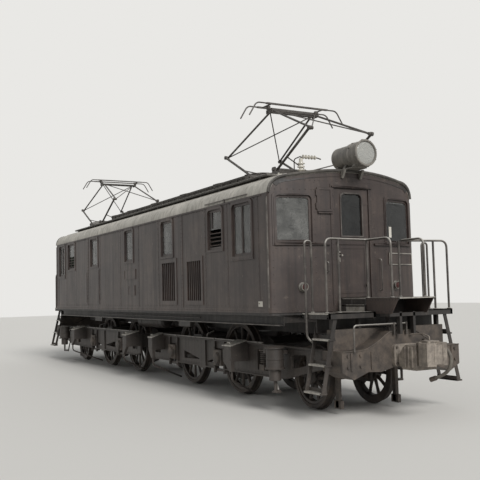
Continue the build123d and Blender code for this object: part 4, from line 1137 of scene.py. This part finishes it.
# %% Axle boxes and coil springs
driver_z, leader_x = 0.653, 5.640
cover_profile = [(0.112, 0.0), (0.112, -0.014), (0.098, -0.018), (0.095, -0.036), (0.060, -0.046),
                 (0.020, -0.048)]
boxes = []
for x in driving_x:
    boxes.append(block(around(x, 0.1497), (-1.080, -0.940), (0.533, 0.803)))
    boxes.append(turned_part(cover_profile, (x, -1.078, driver_z), "Y", 24))
    for k in range(6):
        angle = math.pi / 3 * k + 0.5
        bolt = (x + 0.103 * math.cos(angle), 0, driver_z + 0.103 * math.sin(angle))
        boxes.append(disc((-1.102, -1.090), bolt, 0.011, "Y", 6))
    boxes += blocks([(around(x, 0.120), (-1.086, -1.078), (0.760, 0.796)),
                     (around(x, 0.06), (-1.096, -1.078), (0.538, 0.566))])
boxes.append(block(around(leader_x, 0.1097), (-0.420, -0.340), (0.4003, 0.6397)))
coil_x, coil_y = 4.890, -0.985
coil = []
for k in range(6 * 14 + 1):
    angle = 2 * math.pi * k / 14
    coil.append((coil_x + 0.052 * math.cos(angle), coil_y + 0.052 * math.sin(angle), 0.662 + 0.184 * k / 84))
boxes.append(bent_bar(coil, 0.024, 0.0, 8))
boxes += blocks([(around(coil_x, 0.07), (-1.040, -0.962), (0.5603, 0.650)),
                 (around(coil_x, 0.07), (-1.040, -0.962), (0.856, 0.8797))])
boxes.append(disc((0.650, 0.856), (coil_x, coil_y, 0), 0.016, "Z", 12))
on_both_ends("axle_boxes_dressed", mirrored(boxes), pitted_casting, 0.003, ["axle_boxes"])

# %% Sandboxes, their bright lids and their pipes
sand_places = ((0.925, 0.105, 1.290, 1.050, (-1,)), (0.425, 0.120, 1.345, 1.000, (1,)),
               (4.312, 0.140, 1.343, 3.920, (-1, 1)))
hoppers = []
lids = []
for x, half, outer, pipe_x, sides in sand_places:
    profile = [(-outer, 0.680), (-1.0503, 0.680), (-1.0503, 1.000), (-outer, 0.925)]
    tail = [(x - half, 0.681), (x + half, 0.681), (x + half, 0.520), (x + half - 0.070, 0.520)]
    pipe = [(x + half - 0.035, -outer + 0.030, 0.521), (x + half - 0.035, -outer + 0.030, 0.380),
            (pipe_x, -0.660, 0.110)]
    hopper = [plate(profile, x - half, x + half, "X"),
              block(around(x, half), (-1.052, -1.0103), (0.680, 0.946)),
              plate(tail, -outer, -outer + 0.060), bent_bar(pipe, 0.034, 0.08)]
    for z in (0.72, 0.88):
        for dx in (-half + 0.025, half - 0.025):
            hopper.append(disc((-outer - 0.008, -outer + 0.001), (x + dx, 0, z), 0.011, "Y", 6))
    slope = [(-outer - 0.010, 0.921), (-1.0503, 0.998), (-1.0503, 1.015), (-outer - 0.010, 0.938)]
    handle = [(x - 0.04, -outer + 0.05, 0.950), (x - 0.04, -outer + 0.03, 0.985),
              (x + 0.04, -outer + 0.03, 0.985), (x + 0.04, -outer + 0.05, 0.950)]
    lid = [plate(slope, x - half - 0.010, x + half + 0.010, "X"), bent_bar(handle, 0.012, 0.015)]
    for side in sides:
        hoppers += hopper if side < 0 else other_side(hopper)
        lids += lid if side < 0 else other_side(lid)
on_both_ends("sandboxes_dressed", hoppers, oily_black, 0.004, ["sandboxes"])
# Painted highlight: the lids' pale steel is partly sand polish and partly the light on their tops
on_both_ends("sandbox_lids_painted_highlight", lids, bright_wear_and_highlight, 0.003)

# %% Brake cylinders with bands and cover bolts
cylinder_x, cylinder_y = 5.560, -1.205
cylinders = [turned_part([(0.060, 0.470), (0.090, 0.480), (0.090, 0.640), (0.150, 0.646), (0.152, 0.668),
                          (0.132, 0.674), (0.130, 0.780), (0.136, 0.784), (0.136, 0.800), (0.130, 0.804),
                          (0.130, 0.936), (0.150, 0.942), (0.150, 0.960), (0.120, 0.972), (0.050, 0.980)],
                         (cylinder_x, cylinder_y, 0), "Z", 32),
             disc((0.300, 0.475), (cylinder_x, cylinder_y, 0), 0.022, "Z", 12),
             block(around(cylinder_x, 0.070), (-1.145, -1.0103), (0.860, 0.915)),
             block((cylinder_x - 0.070, cylinder_x + 0.025), (-1.219, -1.120), (0.296, 0.330)),
             block((5.170, 5.230), (-1.170, -1.0103), (0.850, 0.910))]
for level in (0.634, 0.960):
    for k in range(10):
        angle = math.pi / 5 * k
        spot = (cylinder_x + 0.141 * math.cos(angle), cylinder_y + 0.141 * math.sin(angle), level)
        cylinders.append(disc((0.0, 0.012), spot, 0.011, "Z", 6))
on_both_ends("brake_cylinders_dressed", mirrored(cylinders), oily_black, 0.002,
             ["brake_cylinders"])

# %% [markdown]
# ## Spoked wheels
# The wheels are cast centres with oval spokes, a heavy rim and a shrunk-on tyre. The rim and hub are
# turned shapes; a spoke is a tapering bar. Each wheelset is one body, so its two wheels and axle are one
# mesh, and a groove shows where the tyre meets the rim.



# %% Wheelsets
def wheelset(x, radius, spokes, journal):
    """Axle, journals and two spoked wheels about the axle's line."""
    z = rail_height + radius
    axle_profile = [(0.060, -journal), (0.060, -0.640), (0.080, -0.630), (0.080, 0.630), (0.060, 0.640),
                    (0.060, journal)]
    shapes = [turned_part(axle_profile, (x, 0, z), "Y", 24)]
    back, face = -0.495, -0.623
    tread = [(radius - 0.062, back), (radius + 0.020, back), (radius + 0.028, back - 0.012),
             (radius + 0.022, back - 0.024), (radius + 0.001, back - 0.036), (radius - 0.004, face + 0.006),
             (radius - 0.010, face), (radius - 0.056, face), (radius - 0.060, face + 0.012),
             (radius - 0.066, face + 0.008), (radius - 0.104, face + 0.014), (radius - 0.108, face + 0.04),
             (radius - 0.108, back - 0.02), (radius - 0.090, back - 0.004)]
    hub = [(radius * 0.10, -0.655), (radius * 0.22, -0.650), (radius * 0.26, -0.630), (radius * 0.27, -0.515),
           (radius * 0.24, -0.500), (radius * 0.10, -0.498)]
    taper = [(radius * 0.22, 0.034, 0.030), (radius * 0.5, 0.026, 0.024), (radius - 0.100, 0.032, 0.026)]
    rim_steps, spoke_sides = 64, 10
    for side in (1, -1):
        ring = []
        for r, y in tread:
            for k in range(rim_steps):
                angle = 2 * math.pi * k / rim_steps
                ring.append((x + r * math.cos(angle), y * side, z + r * math.sin(angle)))
        shapes.append((ring, ring_faces(len(tread), rim_steps, closed=True)))
        shapes.append(turned_part([(r, y * side) for r, y in hub], (x, 0, z), "Y", 28))
        for k in range(spokes):
            turn = 2 * math.pi * k / spokes
            bar = []
            for distance, wide, thick in taper:
                for j in range(spoke_sides):
                    angle = 2 * math.pi * j / spoke_sides
                    along = wide * math.cos(angle)
                    out = thick * math.sin(angle)
                    bar.append((x + distance * math.cos(turn) - along * math.sin(turn), (-0.565 + out) * side,
                                z + distance * math.sin(turn) + along * math.cos(turn)))
            shapes.append((bar, ring_faces(len(taper), spoke_sides)))
    return shapes


for axle, x, radius, spokes, journal in (("leading", leader_x, 0.465, 10, 0.450),
                                         ("outer_driving", 3.450, 0.625, 12, 1.053),
                                         ("inner_driving", 1.500, 0.625, 12, 1.053)):
    shapes = wheelset(x, radius, spokes, journal)
    for end in ends:
        node = "wheelset_" + axle + "_" + end
        join(node + "_dressed", at_end(shapes, end), node, wheel_steel, 0.0, [node])

# %% [markdown]
# ## Decks, ladders and handrails
# Footplates over the end of each truck let the crew reach the end door. Boots keep the plate edges and
# the ladder treads bright, so those edges are thin pieces of bright steel on the plate; the strips on the
# upright faces of the plate edges are also a painted highlight of the lit edges. The skirts under the
# upper footplate are painted like the body. The rails are bent from pipe.

# %% Deck plates, skirts and posts
deck_z, landing_z = 1.658, 1.468
landing_x = (6.200, 6.830)
edge_y = 1.125
beam_z, cheek_z = (landing_z - 0.08, landing_z), (landing_z - 0.09, landing_z)
deck = blocks([((6.030, 7.330), (-0.320, 0.320), (deck_z - 0.014, deck_z)),
               ((6.700, 6.712), (-0.308, 0.308), (1.450, deck_z - 0.014)),
               ((6.905, 7.115), (-0.315, 0.315), (1.400, 1.450))])
half_deck = blocks([(landing_x, (-edge_y, -0.319), (landing_z - 0.016, landing_z)),
                    ((landing_x[0], landing_x[0] + 0.04), (-edge_y, -0.319), beam_z),
                    ((landing_x[1] - 0.04, landing_x[1]), (-edge_y, -0.319), beam_z),
                    (landing_x, (-edge_y, -edge_y + 0.04), beam_z),
                    ((6.030, landing_x[1]), (-0.360, -0.319), cheek_z),
                    ((6.030, 6.060), (-0.320, -0.290), (landing_z - 0.09, deck_z - 0.005)),
                    ((6.060, 6.640), (-0.360, -0.316), (1.556, 1.568)),
                    ((6.060, 6.632), (-0.360, -0.348), (1.460, 1.540)),
                    ((6.060, 6.632), (-0.335, -0.322), (1.568, 1.644)),
                    ((6.300, 6.330), (-0.350, -0.310), (1.468, deck_z - 0.010))])
posts = ((6.660, 0.950, 1.240), (6.660, 0.500, 1.240), (6.940, 0.195, 1.203), (7.080, 0.120, 1.160))
for x, y, foot in posts:
    post_z = (foot + 0.0003, landing_z - 0.005)
    half_deck.append(block(around(x, 0.035), (-y - 0.02, -y + 0.02), post_z))
deck += mirrored(half_deck) + [block((6.440, 6.460), (-1.060, 1.060), (1.190, 1.452))]
on_both_ends("deck_dressed", deck, oily_black, 0.002, ["deck"])
skirt = [(6.630, deck_z - 0.006), (6.630, 1.440), (7.160, 1.440), (7.310, deck_z - 0.006)]
on_both_ends("deck_skirts", mirrored([plate(skirt, -0.322, -0.308)]), brown_enamel, 0.001)
# Bright steel on the deck edges: boot wear on the tops, and on the upright edge faces partly a painted
# highlight
front_edge_wear_and_highlight = blocks([((7.24, 7.326), (-0.316, 0.316), (deck_z, deck_z + 0.002)),
               ((7.3302, 7.3325), (-0.318, 0.318), (deck_z - 0.013, deck_z))])
side_edge_wear_and_highlight = blocks([((6.05, 6.62), (-0.318, -0.24), (deck_z, deck_z + 0.0018)),
                    ((6.62, 7.24), (-0.318, -0.292), (deck_z, deck_z + 0.0018)),
                    ((6.08, 6.62), (-0.3215, -0.3200), (deck_z - 0.014, deck_z)),
                    ((6.23, 6.80), (-0.62, -0.365), (landing_z, landing_z + 0.002)),
                    ((6.28, 6.78), (-1.12, -0.98), (landing_z, landing_z + 0.002)),
                    ((6.21, 6.82), (-edge_y - 0.0015, -edge_y), (landing_z - 0.018, landing_z)),
                    ((6.21, 6.628), (-0.3625, -0.360), (1.448, 1.535)),
                    ((6.21, 6.628), (-0.3625, -0.3595), (1.556, 1.566)),
                    ((6.08, 6.628), (-0.3235, -0.3220), (1.600, 1.612))])
on_both_ends("plate_edges_wear_and_highlight", front_edge_wear_and_highlight + mirrored(side_edge_wear_and_highlight), bright_wear_and_highlight)

# %% Ladders with bright treads
ladder_x = (6.400, 6.790)
ladder_top, ladder_foot = (-0.950, 1.4517), (-1.198, 0.396)
lean = (ladder_foot[0] - ladder_top[0]) / (ladder_top[1] - ladder_foot[1])


def stringer_y(z):
    """Y of the ladder's inner edge at the given height."""
    return ladder_top[0] + lean * (ladder_top[1] - z)


stringer_foot = (ladder_foot[0] - 0.060, ladder_foot[1])
stringer = [ladder_top, (ladder_top[0] - 0.060, ladder_top[1]), stringer_foot, ladder_foot]
ladder = [plate(stringer, x, x + 0.014, "X") for x in ladder_x]
step_x = (ladder_x[0] - 0.010, ladder_x[1] + 0.024)
riser_x = (ladder_x[0] + 0.001, ladder_x[1] + 0.013)
tread_x = (ladder_x[0] + 0.016, ladder_x[1] - 0.004)
treads = []
for z in (1.108, 0.768, 0.408):
    y = stringer_y(z)
    ladder += blocks([(step_x, (y - 0.080, y + 0.020), (z - 0.012, z + 0.010)),
                      (riser_x, (y + 0.008, y + 0.020), (z - 0.001, z + 0.060))])
    treads += blocks([(tread_x, (y - 0.082, y + 0.006), (z + 0.0095, z + 0.0125)),
                      (tread_x, (y - 0.0825, y - 0.080), (z - 0.012, z + 0.0125))])
on_both_ends("ladder_treads", mirrored(treads), bright_wear_and_highlight, 0.001)

# %% Handrails
rail, rail_top = 0.032, 2.478
rail_y = -edge_y + 0.016
base = landing_z + 0.0003
platform_y = -0.296
grab_y = -edge_y - rail / 2 - 0.0003
back_y = grab_y + 0.110
rails = [bent_bar([(6.780, rail_y, base), (6.780, rail_y, rail_top), (6.650, platform_y, rail_top),
                   (7.165, platform_y, rail_top), (7.165, platform_y, deck_z)], rail, 0.11, 12),
         bent_bar([(6.749, -0.870, base), (6.749, -0.870, rail_top)], rail, 0, 12),
         bent_bar([(6.650, platform_y, deck_z), (6.650, platform_y, rail_top)], rail, 0, 12),
         bent_bar([(6.330, back_y, base), (6.330, back_y, rail_top), (6.330, grab_y, rail_top),
                   (6.330, grab_y, 1.130), (6.400, stringer_y(1.040) - 0.020, 1.040)], rail, 0.06, 12)]
for foot in ((6.780, rail_y, base), (6.749, -0.870, base), (7.165, platform_y, deck_z),
             (6.650, platform_y, deck_z), (6.330, back_y, base)):
    rails.append(turned_part([(0.034, 0.0), (0.034, 0.008), (0.020, 0.014)], foot, "Z", 16))
on_both_ends("handrails_dressed", mirrored(rails), hand_worn, 0.0, ["handrails"])
on_both_ends("ladders", mirrored(ladder), oily_black, 0.001)

# %% Rivets on the decks and truck frames
truck_rows = ((6.65, 7.31, 0.320, 1.630, 0.06), (6.65, 7.20, 0.320, 1.475, 0.08),
              (6.22, 6.81, edge_y, 1.420, 0.06), (0.42, 6.50, frame_out, 0.915, 0.11),
              (1.80, 2.60, frame_out, 0.520, 0.11), (3.75, 5.30, frame_out, 0.520, 0.11))
places = []
for side in (-1, 1):
    for x0, x1, y, z, pitch in truck_rows:
        places += row((x0, side * y, z), (x1, side * y, z), pitch, (0, side, 0))
for end, spots in (("front", places), ("rear", turned(places))):
    rivet_mesh("truck_rivets_" + end, spots, 0.011, 0.006, "truck_" + end, oily_black)

# %% [markdown]
# ## End beam, coupler and underframe
# The end beam is one rough casting. Bolts hold its cover plate, and the uncoupling rod lies across it.
# The coupler is a cast knuckle, worn pale by rubbing, whose throat runs back into a pocket on the beam.
# Under the floor, centre sills and two air tanks fill the space between the trucks.

# %% The cast beam, its pocket, rail guards and uncoupling rod
half_profile = [(0.230, 1.203), (0.460, 1.060), (0.690, 0.962), (1.050, 0.962), (1.050, 0.682),
                (0.860, 0.580), (0.610, 0.670), (0.400, 0.655), (0.170, 0.707)]
profile = half_profile + [(-y, z) for y, z in reversed(half_profile)]
casting = [plate(profile, 6.5503, 7.000, "X"), block((6.600, 6.740), (-1.000, 1.000), (0.950, 1.240))]
for y in ((-0.560, -0.500), (0.500, 0.560)):
    casting += blocks([((6.150, 6.220), y, (0.090, 0.720)), ((6.110, 6.270), y, (0.080, 0.200)),
                       ((6.150, 6.560), y, (0.660, 0.720))])
cock_handle = [(7.07, 0.33, 1.07), (7.07, 0.33, 1.10), (7.07, 0.40, 1.12)]
casting += [disc((-0.001, 0.150), (7.000, 0.330, 1.010), 0.032, "X", 16),
            block((7.040, 7.100), (0.300, 0.360), (1.000, 1.070)), bent_bar(cock_handle, 0.014, 0.01)]
on_both_ends("end_beam_dressed", casting, pitted_casting, 0.012, ["end_beam"])
pocket = [plate(softened(rectangle((-0.210, 0.210), (0.720, 1.020)), 0.06), 6.950, 7.060, "X")]
on_both_ends("coupler_pocket", pocket, coupler_steel, 0.010)
rod_x, rod_z, handle_y = 7.024, 1.298, -0.860
rod_line = [(rod_x, handle_y, 0.950), (rod_x, handle_y, rod_z), (rod_x, 0.060, rod_z)]
lift_rod = [bent_bar(rod_line, 0.026, 0.05, 12)]
for y in (-0.180, 0.040):
    lift_rod.append(block((6.980, 7.044), around(y, 0.012), (1.150, rod_z + 0.020)))
on_both_ends("uncoupling_rod", lift_rod, hand_worn)

# %% Beam bolts, coupler details and underframe
beam = []
for y in (-0.96, -0.75, 0.75, 0.96):
    for z in (0.75, 0.90):
        beam.append(disc((6.999, 7.022), (0, y, z), 0.020, "X", 6))
for y in (-0.90, -0.56, 0.56, 0.90):
    beam.append(block((6.999, 7.016), around(y, 0.016), (0.700, 0.940)))
for y in (-0.17, 0.17):
    for z in (0.76, 0.98):
        beam.append(disc((7.059, 7.080), (0, y, z), 0.018, "X", 6))
ridge = [(-1.045, 0.962), (-0.69, 0.962), (-0.46, 1.060), (-0.23, 1.203), (0.23, 1.203), (0.46, 1.060),
         (0.69, 0.962), (1.045, 0.962)]
beam.append(bent_bar([(7.003, y, z - 0.004) for y, z in ridge], 0.016, 0.08))
on_both_ends("beam_fittings", beam, pitted_casting, 0.002)
throat = [(7.100, 0.860), (7.190, 0.985), (7.250, 1.022), (7.450, 1.022), (7.450, 0.690), (7.180, 0.690),
          (7.100, 0.780)]
hook = [(7.52, 0.0, 1.08), (7.52, 0.0, 1.14), (7.40, 0.0, 1.17), (7.14, 0.0, 1.15)]
knuckle = [plate(throat, -0.180, 0.180),
           *[block(around(x, 0.012), (-0.196, 0.196), (0.720, 1.000)) for x in (7.24, 7.31, 7.38)],
           turned_part([(0.028, -0.150), (0.028, 0.165), (0.020, 0.172)], (7.610, -0.105, 0.908), "Z", 14),
           block((7.44, 7.60), (-0.10, 0.10), (1.058, 1.082)),
           block((7.40, 7.47), (-0.13, 0.13), (0.80, 1.066)),
           bent_bar(hook, 0.016, 0.03)]
on_both_ends("coupler_fittings", knuckle, coupler_steel, 0.006)
tank_y, tank_z = 0.800, 1.225
tank = [(0.03, -0.72), (0.10, -0.705), (0.14, -0.66), (0.14, 0.66), (0.10, 0.705), (0.03, 0.72)]
under = []
for side in (-1, 1):
    under.append(block((-5.780, 5.780), sorted((side * 0.340, side * 0.400)), (1.120, 1.3177)))
    y = side * tank_y
    under.append(turned_part(tank, (0, y, tank_z), "X", 28))
    for x in (-0.45, 0.45):
        under.append(block(around(x, 0.03), around(y, 0.06), (1.340, 1.430)))
        under.append(disc((-0.03, 0.03), (x, y, tank_z), 0.145, "X", 28))
    under.append(bent_bar([(-5.6, side * 1.10, 1.33), (5.6, side * 1.10, 1.33)], 0.034))
    under.append(bent_bar([(-2.0, side * 1.262, 1.36), (3.2, side * 1.262, 1.36)], 0.022))
for x in (-1.75, 1.75):
    under += blocks([(around(x, 0.40), (-0.03, 0.03), (1.010, 1.130)),
                     ((x - 0.39, x - 0.35), (-0.345, 0.345), (1.122, 1.162)),
                     ((x + 0.35, x + 0.39), (-0.345, 0.345), (1.122, 1.162))])
sill_x, edge_depth = (-5.780, 5.780), (-1.2425, -1.240)
edge = blocks([(sill_x, edge_depth, (1.278, 1.294)), (sill_x, edge_depth, (1.424, 1.4295))])
join("worn_sill_edges", mirrored(edge), "carbody", hand_worn)
join("underframe_fittings", under, "carbody", oily_black, 0.002)

# %% [markdown]
# ## Stage and light
# A plain pale floor and a bright even sky stand in for a photographer's studio. The sky gives most of the
# light, so colours render about as written, and one large soft sun from ahead of the locomotive shapes
# the plates. The background is white to the camera, in reflections and through glass.

# %% Floor, sky and sun
floor_size = 120
floor_mesh = bpy.data.meshes.new("studio_floor")
half = floor_size / 2
floor_corners = [(x, y, 0) for x, y in rectangle((-half, half), (-half, half))]
floor_mesh.from_pydata(floor_corners, [], [(0, 1, 2, 3)])
floor = place_in_scene("studio_floor", floor_mesh)
pale_floor = new_material("pale_studio_floor", {"Base Color": colour("#cfccc6"), "Roughness": 0.9})[0]
floor_mesh.materials.append(pale_floor)

world = bpy.data.worlds.new("even_sky")
bpy.context.scene.world = world
world.use_nodes = True
tree = world.node_tree
tree.nodes.clear()
path = add(tree, "ShaderNodeLightPath").outputs
seen = combine(tree, "MAXIMUM", path["Is Camera Ray"], path["Is Transmission Ray"])
shown = combine(tree, "MAXIMUM", seen, path["Is Glossy Ray"])
light = add(tree, "ShaderNodeBackground", {"Color": colour("#e4e8ec"), "Strength": 0.50})
backdrop = add(tree, "ShaderNodeBackground", {"Color": colour("#e9e8e5"), "Strength": 1.0})
mix = add(tree, "ShaderNodeMixShader", {}, {0: shown, 1: light.outputs[0], 2: backdrop.outputs[0]})
add(tree, "ShaderNodeOutputWorld", {}, {0: mix.outputs[0]})

sun_data = bpy.data.lights.new("soft_sun", "SUN")
sun_data.energy = 3.0
sun_data.angle = math.radians(25)
sun = place_in_scene("soft_sun", sun_data)
sun.rotation_euler = Vector((0.90, -0.08, 0.62)).to_track_quat("Z", "Y").to_euler()
bpy.context.scene.view_settings.view_transform = "Standard"

# %% Update the scene and finish
bpy.context.view_layer.update()
